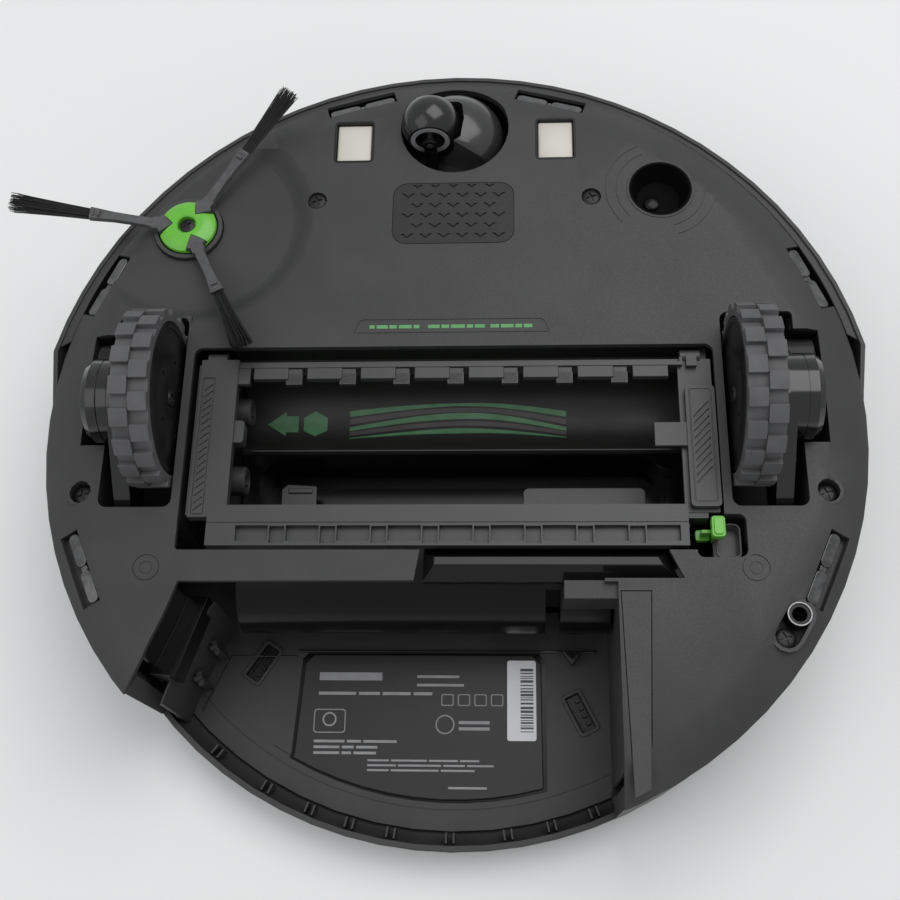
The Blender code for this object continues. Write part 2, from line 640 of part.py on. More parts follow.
# ---------------------------------------------------------------- drive wheels
def build_wheel_well(side, word):
    well = slab(f"wheel_well_{word}", well_outline(side, 1.4), 19.8, UNDER_COVER, DECK)
    cut(well, slab(f"well_space_{word}", well_outline(side, 0.0), 21.4, 90),
        above_slope(f"above_well_{word}", COVER_FLAT_R - 0.6, UNDER_COVER))
    low, high = sorted((side * 105.0, side * 160.0))
    cut(well, box(f"well_step_{word}", (low, 39.0, 70.5), (high, 70.0, 90)))
    start = min(side * 138.0, side * 143.0)
    cut(well, cylinder(f"pivot_way_{word}", (start, PIVOT_Y, PIVOT_Z), 5.0, 2.6, axis="X", sides=SMALL_SIDES))


def along_x(side, near, far):
    """The low and high x of a stretch given by its distances from the middle."""
    return sorted((side * near, side * far))


def build_suspension(side, word):
    pivot = (side * ARM_IN_X, PIVOT_Y, PIVOT_Z)
    low, high = along_x(side, ARM_IN_X, ARM_OUT_X)
    arm = bar(f"suspension_arm_{word}", hull_of_circles([(DRUM_Y, DRUM_Z, DRUM_R), (PIVOT_Y, PIVOT_Z,
            PIVOT_R),
                                                        (MOTOR_Y, MOTOR_Z, MOTOR_R + 1)]), low, high, GLOSS)
    low, high = along_x(side, ARM_OUT_X - 2.0, DRUM_OUT_X)
    drum = cylinder(f"drum_{word}", (low, DRUM_Y, DRUM_Z), high - low, DRUM_R, axis="X")
    low, high = along_x(side, 113.0, ARM_IN_X + 2.0)
    spindle = cylinder(f"spindle_{word}", (low, WHEEL_Y, WHEEL_Z), high - low, SPINDLE_R, axis="X",
            sides=SMALL_SIDES)
    low, high = along_x(side, 118.0, 140.8)
    pin = cylinder(f"pin_{word}", (low, PIVOT_Y, PIVOT_Z), high - low, 2.2, axis="X", sides=SMALL_SIDES)
    join(arm, drum, spindle, pin)
    set_origin(arm, pivot)
    low, high = along_x(side, ARM_OUT_X + GAP, 148.5)
    motor = cylinder(f"drive_motor_{word}", (low, MOTOR_Y, MOTOR_Z), high - low, MOTOR_R, STEEL,
            axis="X", sides=20)
    set_origin(motor, pivot)
    build_torsion_spring(side, word)


def build_torsion_spring(side, word):
    """A coil round the suspension pin."""
    turns, steps, radius, wire = 3, 9, 4.2, 0.7
    curve = bpy.data.curves.new(f"suspension_spring_{word}", "CURVE")
    curve.dimensions = "3D"
    curve.bevel_depth = wire * MM
    curve.bevel_resolution = 1
    curve.use_fill_caps = True
    line = curve.splines.new("POLY")
    count = turns * steps + 1
    line.points.add(count - 1)
    for i, point in enumerate(line.points):
        angle = 2 * math.pi * i / steps
        x = side * (119.5 + 2.0 * i / steps)
        point.co = (x * MM, radius * math.cos(angle) * MM, radius * math.sin(angle) * MM, 1)
    made = bpy.data.objects.new(curve.name, curve)
    made.location = (0, PIVOT_Y * MM, PIVOT_Z * MM)
    curve.materials.append(STEEL)
    PARTS.objects.link(made)


def build_wheel(side, word):
    low, high = along_x(side, TYRE_IN_X, TYRE_OUT_X)
    middle = (side * (TYRE_IN_X + TYRE_OUT_X) / 2, WHEEL_Y, WHEEL_Z)
    width = high - low
    half = width / 2
    tyre = turned(f"tyre_{word}", [(WHEEL_R, half), (WHEEL_R, -half), (TYRE_BORE_R, -half),
            (TYRE_BORE_R, half)],
                  TYRE, sides=36)
    hub_r = TYRE_BORE_R - GAP
    bore = SPINDLE_R + GAP
    hub = turned(f"wheel_hub_{word}", [(hub_r, half - 0.6), (hub_r, -half + 0.6), (bore, -half + 1.2),
                                       (bore, half - 1.2)], HUB, sides=28)
    for made in (tyre, hub):
        made.location = Vector(middle) * MM
        made.rotation_euler = AXIS_TURN["X"]


# ---------------------------------------------------------------- caster
def build_caster():
    turned("caster_socket", [(0, 45.5), (21.5, 45.5), (23.9, 50.0), (23.9, UNDER_COVER), (25.4, UNDER_COVER),
                             (25.4, 49.0), (22.5, 44.0), (0, 44.0)], HUB, centre=(0, CASTER_Y, 0), sides=28,
           closed=False)
    cut(bpy.data.objects["caster_socket"],
        cylinder("stem_way", (0, CASTER_Y, 40), 10, 4.3, sides=SMALL_SIDES),
        above_slope("above_socket", COVER_FLAT_R - 0.6, UNDER_COVER))
    shape = bmesh.new()
    bmesh.ops.create_uvsphere(shape, u_segments=20, v_segments=10, radius=1.0)
    bmesh.ops.scale(shape, vec=Vector((21.8, 21.8, 17.0)) * MM, verts=shape.verts)
    mesh = bpy.data.meshes.new("caster_fork")
    shape.to_mesh(mesh)
    shape.free()
    fork = place("caster_fork", mesh, GLOSS)
    fork.location = Vector((0, CASTER_Y, 67.5)) * MM
    stem = cylinder("fork_stem", (0, CASTER_Y, 38), 16, 4.0, sides=SMALL_SIDES)
    flat = box("fork_flat", (-30, CASTER_Y - 30, 40), (30, CASTER_Y + 30, 52.0))
    x = -CASTER_TRAIL
    lugs = [cylinder(f"fork_lug_{i}", (x, y, CASTER_WHEEL_Z), 2.6, 3.6, axis="Y", sides=SMALL_SIDES)
            for i, y in enumerate((CASTER_Y - 11.9, CASTER_Y + 9.3))]
    posts = [box(f"fork_post_{i}", (x - 3.6, y, 66), (x + 3.6, y + 2.6, CASTER_WHEEL_Z))
             for i, y in enumerate((CASTER_Y - 11.9, CASTER_Y + 9.3))]
    way = cylinder("fork_wheel_way", (x, CASTER_Y - 9.0, CASTER_WHEEL_Z), 18.0, CASTER_WHEEL_R + 1.0,
            axis="Y")
    side_way = box("fork_side_way", (-30, CASTER_Y - 30, 76.0), (-3.0, CASTER_Y - 8.9, 90))
    far_way = box("fork_far_way", (-30, CASTER_Y + 12.3, 78.0), (-5.0, CASTER_Y + 30, 90))
    axle_way = cylinder("fork_axle_way", (x, CASTER_Y - 20, CASTER_WHEEL_Z), 40, 1.8, axis="Y",
            sides=SMALL_SIDES)
    cut(fork, flat, way, side_way, far_way)
    join(fork, stem, *posts, *lugs)
    cut(fork, axle_way)
    set_origin(fork, (0, CASTER_Y, 67.5))
    ball = arc(0, 0, CASTER_WHEEL_R, 44, -44, 6)
    wheel = turned("caster_wheel", ball + [(1.8, -8.5), (1.8, 8.5)], GLOSS,
                   centre=(x, CASTER_Y, CASTER_WHEEL_Z), axis="Y", sides=ROUND_SIDES)
    wheel.name = "caster_wheel"
    axle = cylinder("caster_axle", (x, CASTER_Y - 11.7, CASTER_WHEEL_Z), 23.4, 1.5, STEEL, axis="Y",
                    sides=SMALL_SIDES)
    set_origin(axle, (x, CASTER_Y, CASTER_WHEEL_Z))


# ---------------------------------------------------------------- side brush
SIDE_ARMS = {"left": 176.5, "front": 53.5, "rear": 296.3}
STALK_END = 41.0
BRISTLE_END = 75.0


def brush_height(reach):
    """How high an arm's middle line lies at a distance from the brush's axis."""
    return 77.6 + 14.4 * (reach - 12.0) / (BRISTLE_END - 12.0)


def radial_piece(name, angle, outline, thickness, near, far, look=None):
    """A flat outline that lies along an arm and rises with it."""
    mesh = outline_mesh(name, outline, thickness)
    made = place(name, mesh, look)
    rise = math.atan2(brush_height(far) - brush_height(near), far - near)
    made.matrix_world = (Matrix.Translation(Vector((SIDE_X, SIDE_Y, brush_height(near) - thickness / 2)) * MM)
                         @ Matrix.Rotation(math.radians(angle), 4, "Z")
                         @ Matrix.Translation(Vector((near, 0, 0)) * MM)
                         @ Matrix.Rotation(-rise, 4, "Y"))
    return made


def build_side_brush():
    centre = (SIDE_X, SIDE_Y, 0)
    gearbox = turned("side_brush_gearbox", [(0, 66.0), (4.0, 66.0), (4.0, 70.0), (13.0, 70.0), (13.2, 75.4),
                                            (15.1, 75.4), (15.1, 70.0), (11.6, 68.4), (11.6, 40.0), (0,
                                                    40.0)],
                     FRAME, centre=centre, closed=False)
    join(gearbox, box("gear_train_case", (-112.0, 64.0, 40.0), (-80.0, 96.0, 62.0), turn=-38))
    hub = turned("side_brush_hub", [(0, 76.0), (3.6, 76.0), (4.0, 78.6), (7.0, 78.3), (12.6, 76.8),
            (12.6, 75.2),
                                    (3.2, 75.2), (3.2, 66.6), (0, 66.6)], LIME, centre=centre, closed=False)
    arms = turned("side_brush_arms", [(11.6, 74.8), (11.6, 72.6), (3.7, 72.6), (3.7, 74.8)], RUBBER,
            centre=centre)
    for word, angle in SIDE_ARMS.items():
        notch = box(f"hub_notch_{word}", (7.2, -3.6, 74.0), (20.0, 3.6, 90.0))
        notch.matrix_world = (Matrix.Translation(Vector(centre) * MM) @ Matrix.Rotation(math.radians(angle), 4, "Z")
                              @ Matrix.Translation(Vector((13.6, 0, 82.0)) * MM))
        cut(hub, notch)
        foot = box(f"arm_foot_{word}", (7.5, -3.3, 73.4), (12.4, 3.3, 79.0))
        foot.matrix_world = (Matrix.Translation(Vector(centre) * MM) @ Matrix.Rotation(math.radians(angle), 4, "Z")
                             @ Matrix.Translation(Vector((9.95, 0, 76.2)) * MM))
        stalk = radial_piece(f"stalk_{word}", angle, [(0, -2.9), (30.0, -2.4), (30.0, 2.4), (0, 2.9)], 2.6,
                             11.0, STALK_END)
        join(arms, foot, stalk)
        length = BRISTLE_END - STALK_END - GAP
        radial_piece(f"bristles_{word}", angle, [(0, -1.7), (length, -4.2), (length, 4.2), (0, 1.7)], 2.4,
                     STALK_END + GAP, BRISTLE_END, BRISTLE)
    turned("side_brush_screw", [(0, 77.6), (2.4, 77.6), (3.0, 77.1), (3.0, 76.3), (0, 76.3)], STEEL,
           centre=centre, sides=SMALL_SIDES, closed=False)


# ---------------------------------------------------------------- bin bay
def build_bin_bay():
    wall = 1.4
    inner = [(-104.6, -71.0), (-109.1, -84.3), (-115.2, -99.2)]
    outer = [(x - wall, y - 0.4) for x, y in inner[::-1]]
    left = slab("bin_bay_wall_left", inner + outer, DECK_TOP + GAP, UNDER_COVER, DECK)
    cut(left, above_slope("above_left_wall", COVER_FLAT_R - 0.6, UNDER_COVER))
    join(left, slab("bin_ledge", [(-105.0, -71.4), (-96.5, -71.4), (-107.0, -103.5), (-117.5, -102.5)],
            44.0, 58.0))
    slab("bin_bay_wall_right", [(65.4, -69.2), (67.0, -69.2), (67.0, -139.0), (65.4, -139.0)],
         DECK_TOP + GAP, UNDER_COVER, DECK)
    right = bpy.data.objects["bin_bay_wall_right"]
    cut(right, above_slope("above_right_wall", COVER_FLAT_R - 0.6, UNDER_COVER))
    join(right, box("bin_post", (44.6, -76.6, 59.5), (66.0, -69.2, UNDER_COVER)))
    base = arc(0, 0, 144.0, 242.0, 285.0, 10)
    slab("label_plate", [(-64.5, -87.4), (-61.0, -83.6), (33.4, -83.6), (36.9, -87.4)] + base[::-1]
         + [(-67.0, -125.0)], DECK_TOP + GAP, DECK_TOP + GAP + 1.2, LABEL)


# ---------------------------------------------------------------- inner pieces
def build_inner_pieces():
    box("battery", (-62.0, 70.0, 8.0), (62.0, 108.0, 44.0), CELL, bevel=2.0)
    box("main_board", (-60.0, 40.0, 52.0), (60.0, 108.0, 53.6), BOARD)
    turned("blower_housing", [(0, 16.0), (24.4, 16.0), (24.4, 56.4), (12.0, 56.4), (12.0, 58.0), (24.0, 58.0),
                              (26.0, 56.0), (26.0, 14.0), (0, 14.0)], HUB, centre=(*BLOWER, 0), closed=False)
    impeller = turned("blower_impeller", [(0, 52.0), (5.0, 52.0), (9.0, 40.0), (22.0, 36.0), (22.0, 33.0),
                                          (4.0, 33.0), (4.0, 17.0), (0, 17.0)], FRAME, centre=(*BLOWER, 0),
                      closed=False)
    for index in range(6):
        blade = box(f"blade_{index}", (6.0, -0.7, 34.0), (21.0, 0.7, 47.0))
        blade.matrix_world = (Matrix.Translation(Vector((*BLOWER, 0)) * MM)
                              @ Matrix.Rotation(math.radians(60 * index), 4, "Z")
                              @ Matrix.Translation(Vector((13.5, 0, 40.5)) * MM))
        join(impeller, blade)


build_lid()
build_chassis()
build_bumper()
build_cover()
build_cover_trim()
build_screws()
build_brush_housing()
build_brush_drive()
build_brush_frame()
for which, label in ((-1, "left"), (1, "right")):
    build_wheel_well(which, label)
    build_suspension(which, label)
    build_wheel(which, label)
build_caster()
build_side_brush()
build_bin_bay()
build_inner_pieces()
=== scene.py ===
"""Looks of the robot vacuum: detailed pieces, materials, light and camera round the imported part.

Lengths are written in millimetres; the helpers turn them into metres.
"""

import math
import random

import bmesh
import bpy
from mathutils import Matrix, Vector


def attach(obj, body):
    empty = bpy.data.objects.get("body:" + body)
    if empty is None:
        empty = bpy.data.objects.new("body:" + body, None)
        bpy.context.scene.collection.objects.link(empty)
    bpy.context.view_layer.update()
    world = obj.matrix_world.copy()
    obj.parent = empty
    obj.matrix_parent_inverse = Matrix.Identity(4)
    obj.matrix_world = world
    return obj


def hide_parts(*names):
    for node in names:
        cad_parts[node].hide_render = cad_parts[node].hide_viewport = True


MM = 0.001
IDENTITY = Matrix.Identity(4)
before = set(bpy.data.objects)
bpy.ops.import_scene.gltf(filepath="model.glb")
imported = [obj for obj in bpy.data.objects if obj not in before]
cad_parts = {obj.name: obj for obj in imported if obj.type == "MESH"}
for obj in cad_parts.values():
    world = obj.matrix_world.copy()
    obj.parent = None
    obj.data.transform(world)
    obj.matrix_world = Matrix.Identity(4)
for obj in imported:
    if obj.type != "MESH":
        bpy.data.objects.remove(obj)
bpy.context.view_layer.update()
random.seed(11)
scene = bpy.context.scene


# ---------------------------------------------------------------- materials
def finish(slot, dark, light, rough, bump=0.25, cloud=45.0, grain=1800.0, metallic=0.0, specular=0.5,
        coat=0.0):
    """A surface whose colour, roughness and relief all wander a little."""
    made = bpy.data.materials.new(slot)
    made.use_nodes = True
    nodes = made.node_tree.nodes
    links = made.node_tree.links
    shader = nodes["Principled BSDF"]
    shader.inputs["Metallic"].default_value = metallic
    shader.inputs["Specular IOR Level"].default_value = specular
    shader.inputs["Coat Weight"].default_value = coat
    shader.inputs["Coat Roughness"].default_value = 0.08
    where = nodes.new("ShaderNodeTexCoord")
    clouds = nodes.new("ShaderNodeTexNoise")
    clouds.inputs["Scale"].default_value = cloud
    clouds.inputs["Detail"].default_value = 6.0
    grains = nodes.new("ShaderNodeTexNoise")
    grains.inputs["Scale"].default_value = grain
    grains.inputs["Detail"].default_value = 3.0
    tint = nodes.new("ShaderNodeValToRGB")
    tint.color_ramp.elements[0].position = 0.3
    tint.color_ramp.elements[0].color = (*dark, 1.0)
    tint.color_ramp.elements[1].position = 0.7
    tint.color_ramp.elements[1].color = (*light, 1.0)
    sheen = nodes.new("ShaderNodeMapRange")
    sheen.inputs["From Min"].default_value = 0.3
    sheen.inputs["From Max"].default_value = 0.7
    sheen.inputs["To Min"].default_value = rough[0]
    sheen.inputs["To Max"].default_value = rough[1]
    relief = nodes.new("ShaderNodeBump")
    relief.inputs["Strength"].default_value = bump
    relief.inputs["Distance"].default_value = 0.0001
    links.new(where.outputs["Object"], clouds.inputs["Vector"])
    links.new(where.outputs["Object"], grains.inputs["Vector"])
    links.new(clouds.outputs["Fac"], tint.inputs["Fac"])
    links.new(grains.outputs["Fac"], sheen.inputs["Value"])
    links.new(grains.outputs["Fac"], relief.inputs["Height"])
    links.new(tint.outputs["Color"], shader.inputs["Base Color"])
    links.new(sheen.outputs["Result"], shader.inputs["Roughness"])
    links.new(relief.outputs["Normal"], shader.inputs["Normal"])
    return made


def grey(value, tint=(1.0, 1.0, 1.03)):
    return tuple(value * part for part in tint)


LOOKS = {
    "shell": finish("shell", grey(0.032), grey(0.040), (0.42, 0.56), bump=0.5, specular=0.4),
    "deck": finish("deck", grey(0.030), grey(0.038), (0.42, 0.56), bump=0.4, specular=0.4),
    "gloss": finish("gloss", grey(0.006), grey(0.010), (0.1, 0.17), bump=0.06, cloud=30.0, coat=0.3),
    "frame": finish("frame", grey(0.034), grey(0.041), (0.34, 0.46), bump=0.3),
    "tyre": finish("tyre", grey(0.072), grey(0.094), (0.55, 0.72), bump=0.6, cloud=120.0),
    "dark": finish("dark", grey(0.004), grey(0.007), (0.3, 0.42), bump=0.25, specular=0.3),
    "lime": finish("lime", (0.115, 0.42, 0.035), (0.14, 0.48, 0.045), (0.2, 0.3), bump=0.1, cloud=90.0),
    "rubber": finish("rubber", grey(0.055), grey(0.085), (0.55, 0.7), bump=0.7, cloud=400.0),
    "bristle": finish("bristle", grey(0.006), grey(0.014), (0.35, 0.5), bump=0.2, cloud=300.0),
    "nickel": finish("nickel", (0.56, 0.535, 0.48), (0.62, 0.59, 0.53), (0.45, 0.6), bump=0.2, metallic=0.1),
    "steel": finish("steel", (0.20, 0.20, 0.21), (0.27, 0.27, 0.28), (0.3, 0.45), bump=0.2, metallic=0.9),
    # window: colour wandering from near black to grey in small blotches is painted reflection, standing in
    # for the glints inside the clear panes
    "window": finish("window", grey(0.008), grey(0.07), (0.05, 0.12), bump=0.05, cloud=260.0, coat=1.0),
    "board": finish("board", (0.01, 0.10, 0.04), (0.02, 0.16, 0.07), (0.4, 0.5), bump=0.3, cloud=200.0),
    "cell": finish("cell", (0.04, 0.07, 0.12), (0.06, 0.09, 0.15), (0.4, 0.5), bump=0.2),
    "label": finish("label", (0.0105, 0.010, 0.0098), (0.014, 0.0136, 0.0132), (0.36, 0.46), bump=0.15,
            specular=0.4),
}
PALE = finish("pale_plastic", grey(0.20), grey(0.26), (0.3, 0.45), bump=0.2)
CEILING = finish("ceiling_satin", (0.008, 0.0075, 0.007), (0.011, 0.0105, 0.0098), (0.35, 0.5), bump=0.5,
        cloud=80.0)
PRINT = finish("print_grey", grey(0.22), grey(0.27), (0.45, 0.55), bump=0.1, cloud=200.0)
STICKER = finish("sticker_white", grey(0.62), grey(0.68), (0.4, 0.5), bump=0.1, cloud=150.0)
FADED = finish("print_green", (0.050, 0.150, 0.066), (0.075, 0.20, 0.095), (0.35, 0.5), bump=0.1, cloud=150.0)
# Near-black gloss: the sensor lens's own colour, and painted shade on the rear of the brush housing, the left
# bin-bay wall and the sheet round the label plate
BLACK_AND_PAINTED_SHADE = finish("black_gloss_and_painted_shade", grey(0.0025), grey(0.0045), (0.16, 0.26), bump=0.08, cloud=30.0,
        specular=0.22)
DARK_STEEL = finish("steel_dark", grey(0.022), grey(0.036), (0.35, 0.5), bump=0.3, metallic=0.7)
SATIN = finish("satin_grey", grey(0.026), grey(0.034), (0.2, 0.28), bump=0.1, cloud=30.0, coat=0.2)
LEAF = finish("print_bright", (0.075, 0.26, 0.085), (0.10, 0.33, 0.11), (0.4, 0.5), bump=0.1, cloud=150.0)
WEDGE = finish("wedge_gloss", grey(0.006), grey(0.009), (0.12, 0.2), bump=0.06, cloud=30.0, specular=0.3)
BALL = finish("ball_gloss", grey(0.007), grey(0.011), (0.16, 0.24), bump=0.06, cloud=30.0, coat=0.15)
PAD = finish("pad_plastic", grey(0.014), grey(0.019), (0.42, 0.56), bump=0.4, specular=0.35)
# Dead black with almost no sheen: painted shade for the inside of the floor sensor's cup
PAINTED_SHADE_VOID = finish("painted_shade_black", grey(0.002), grey(0.004), (0.6, 0.8), bump=0.2, specular=0.06)
MAUVE = finish("print_mauve", (0.050, 0.042, 0.044), (0.060, 0.052, 0.054), (0.4, 0.5), bump=0.1, cloud=150.0)


# ---------------------------------------------------------------- shapes
def turn_to(axis):
    """The turn that lays a piece's own Z along an axis."""
    if axis == "X":
        return Matrix.Rotation(math.pi / 2, 4, "Y")
    if axis == "Y":
        return Matrix.Rotation(-math.pi / 2, 4, "X")
    return IDENTITY


def at(x, y, z, turn=0.0):
    return Matrix.Translation((x, y, z)) @ Matrix.Rotation(math.radians(turn), 4, "Z")


def arc(cx, cy, radius, start, end, steps):
    turns = [math.radians(start + (end - start) * i / steps) for i in range(steps + 1)]
    return [(cx + radius * math.cos(t), cy + radius * math.sin(t)) for t in turns]


def rounded(x0, y0, x1, y1, radius, steps=5):
    return (arc(x1 - radius, y1 - radius, radius, 0, 90, steps) + arc(x0 + radius, y1 - radius, radius, 90,
            180, steps)
            + arc(x0 + radius, y0 + radius, radius, 180, 270, steps)
            + arc(x1 - radius, y0 + radius, radius, 270, 360, steps))


class Form:
    """A piece put together from closed shapes, in millimetres."""

    def __init__(self):
        self.shape = bmesh.new()

    def shell(self, points, faces, to=IDENTITY):
        corners = [self.shape.verts.new(to @ Vector(point)) for point in points]
        for face in faces:
            self.shape.faces.new([corners[i] for i in face])
        return self

    def prism(self, loop, low, high, to=IDENTITY):
        """A flat outline between two heights."""
        n = len(loop)
        points = [(x, y, low) for x, y in loop] + [(x, y, high) for x, y in loop]
        sides = [(i, (i + 1) % n, n + (i + 1) % n, n + i) for i in range(n)]
        return self.shell(points, [tuple(range(n))[::-1], tuple(range(n, 2 * n)), *sides], to)

    def block(self, low, high, to=IDENTITY):
        (x0, y0, z0), (x1, y1, z1) = low, high
        return self.prism([(x0, y0), (x1, y0), (x1, y1), (x0, y1)], z0, z1, to)

    def band(self, outer, inner, low, high, to=IDENTITY):
        """A flat ring between two outlines with the same number of corners."""
        n = len(outer)
        points = [(x, y, z) for z in (low, high) for loop in (outer, inner) for x, y in loop]
        faces = []
        for i in range(n):
            j = (i + 1) % n
            faces.append((i, n + i, n + j, j))
            faces.append((2 * n + i, 2 * n + j, 3 * n + j, 3 * n + i))
            faces.append((i, j, 2 * n + j, 2 * n + i))
            faces.append((n + i, 3 * n + i, 3 * n + j, n + j))
        return self.shell(points, faces, to)

    def lathe(self, profile, to=IDENTITY, sides=48, closed=False):
        """A profile of (radius, height) turned about Z; a radius of 0 closes an end."""
        points, rings = [], []
        for radius, height in profile:
            if radius == 0:
                rings.append([len(points)] * sides)
                points.append((0, 0, height))
            else:
                rings.append(list(range(len(points), len(points) + sides)))
                points += [(*spot, height) for spot in arc(0, 0, radius, 0, 360, sides)[:-1]]
        pairs = list(zip(rings, rings[1:])) + ([(rings[-1], rings[0])] if closed else [])
        faces = []
        for first, second in pairs:
            for i in range(sides):
                j = (i + 1) % sides
                face = list(dict.fromkeys((first[i], first[j], second[j], second[i])))
                if len(face) > 2:
                    faces.append(face)
        return self.shell(points, faces, to)

    def rod(self, radius, low, high, to=IDENTITY, sides=24):
        return self.lathe([(0, low), (radius, low), (radius, high), (0, high)], to, sides)

    def sector(self, inner, outer, start, end, low, high, to=IDENTITY, steps=2):
        loop = arc(0, 0, outer, start, end, steps) + arc(0, 0, inner, end, start, steps)
        return self.prism(loop, low, high, to)

    def corner(self, x, y, way_x, way_y, radius, low, high):
        """The fill that rounds an inside corner at (x, y); the ways point into the opening."""
        out = 0.6
        edge = [(x + way_x * (radius - px), y + way_y * (radius - py)) for py, px in arc(0, 0, radius, 0,
                90, 6)]
        loop = [(x - way_x * out, y - way_y * out), (x + way_x * radius, y - way_y * out), *edge,
                (x - way_x * out, y + way_y * radius)]
        return self.prism(loop, low, high)

    def strand(self, path, radii, sides=4):
        """A thin bar through points, with a radius at each."""
        points = []
        for index, (spot, radius) in enumerate(zip(path, radii)):
            ahead = Vector(path[min(index + 1, len(path) - 1)]) - Vector(path[max(index - 1, 0)])
            across = ahead.cross(Vector((0, 0, 1))).normalized()
            upward = across.cross(ahead).normalized()
            for i in range(sides):
                t = 2 * math.pi * i / sides
                points.append(Vector(spot) + (across * math.cos(t) + upward * math.sin(t)) * radius)
        last = len(path) - 1
        faces = [tuple(range(sides))[::-1], tuple(range(last * sides, (last + 1) * sides))]
        for ring in range(last):
            for i in range(sides):
                j = (i + 1) % sides
                base = ring * sides
                faces.append((base + i, base + j, base + sides + j, base + sides + i))
        return self.shell(points, faces)

    def object(self, name):
        bmesh.ops.recalc_face_normals(self.shape, faces=self.shape.faces)
        bmesh.ops.scale(self.shape, vec=(MM, MM, MM), verts=self.shape.verts)
        mesh = bpy.data.meshes.new(name)
        self.shape.to_mesh(mesh)
        self.shape.free()
        made = bpy.data.objects.new(name, mesh)
        scene.collection.objects.link(made)
        return made


def carried(node):
    """A copy of a CAD node with whole faces instead of loose triangles."""
    shape = bmesh.new()
    shape.from_mesh(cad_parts[node].data)
    bmesh.ops.remove_doubles(shape, verts=shape.verts, dist=0.000002)
    bmesh.ops.dissolve_limit(shape, angle_limit=math.radians(0.6), verts=shape.verts, edges=shape.edges)
    mesh = bpy.data.meshes.new(node)
    shape.to_mesh(mesh)
    shape.free()
    made = bpy.data.objects.new(node + "_skin", mesh)
    scene.collection.objects.link(made)
    return made


def work(made, other, operation):
    """Cut another shape away from a piece, or join it on, for good."""
    tool = other.object("tool") if isinstance(other, Form) else other
    step = made.modifiers.new("work", "BOOLEAN")
    step.operation = operation
    step.solver = "EXACT"
    step.object = tool
    bpy.context.view_layer.update()
    shaped = made.evaluated_get(bpy.context.evaluated_depsgraph_get())
    mesh = bpy.data.meshes.new_from_object(shaped)
    made.modifiers.clear()
    made.data = mesh
    bpy.data.objects.remove(tool, do_unlink=True)
    return made


def carve(made, other):
    return work(made, other, "DIFFERENCE")


def fuse(made, other):
    return work(made, other, "UNION")


def show(made, body, slot, *nodes, look=None, bevel=0.2, smooth=32, segments=2):
    """Give a piece its material, soft edges and body, and hide the CAD nodes it stands for; the slot only
    picks the material.
    """
    if isinstance(made, tuple):
        made = made[1].object(made[0])
    made.data.materials.clear()
    made.data.materials.append(look or LOOKS[slot])
    for loose in [a.name for a in made.data.attributes if a.name == "custom_normal"]:
        made.data.attributes.remove(made.data.attributes[loose])
    made.data.shade_smooth()
    made.data.set_sharp_from_angle(angle=math.radians(smooth))
    if bevel:
        edge = made.modifiers.new("edge", "BEVEL")
        edge.width = bevel * MM
        edge.segments = segments
        edge.limit_method = "ANGLE"
        edge.angle_limit = math.radians(smooth)
        edge.harden_normals = True
    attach(made, body)
    if nodes:
        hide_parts(*nodes)
    return made


def plain(node, body, slot, bevel=0.2, smooth=32):
    return show(carried(node), body, slot, node, bevel=bevel, smooth=smooth)


SIDES = ((-1, "left"), (1, "right"))
# Lays a prism drawn in (y, z) along X
LAY = Matrix(((0, 0, 1, 0), (1, 0, 0, 0), (0, 1, 0, 0), (0, 0, 0, 1)))


def cross_recess(form, reach, depth, to):
    """The cross-shaped recess of a screw's head, below local height 0."""
    half = reach * 0.24
    loop = [(half, half), (reach, half * 0.6), (reach, -half * 0.6), (half, -half)]
    points = []
    for quarter in range(4):
        t = -math.pi / 2 * quarter
        for x, y in loop[:3]:
            points.append((x * math.cos(t) - y * math.sin(t), x * math.sin(t) + y * math.cos(t)))
    return form.prism(points[::-1], -depth, 1.0, to)


def screw_head(name, node, body, x, y, top, radius, slot="steel", look=None):
    """A screw with a domed head and a cross recess."""
    head = Form().lathe([(0, top), (radius * 0.55, top - 0.08), (radius * 0.85, top - 0.35), (radius,
            top - 0.8),
                         (radius, top - 1.3), (1.5, top - 1.3), (1.5, top - 8.0), (0, top - 8.0)], at(x, y,
                                 0), 32)
    made = carve(head.object(name), cross_recess(Form(), radius * 0.58, 0.9, at(x, y, top, 20)))
    return show(made, body, slot, node, look=look, bevel=0.08)


# ---------------------------------------------------------------- underside cover
SENSOR = (89.0, 104.0)


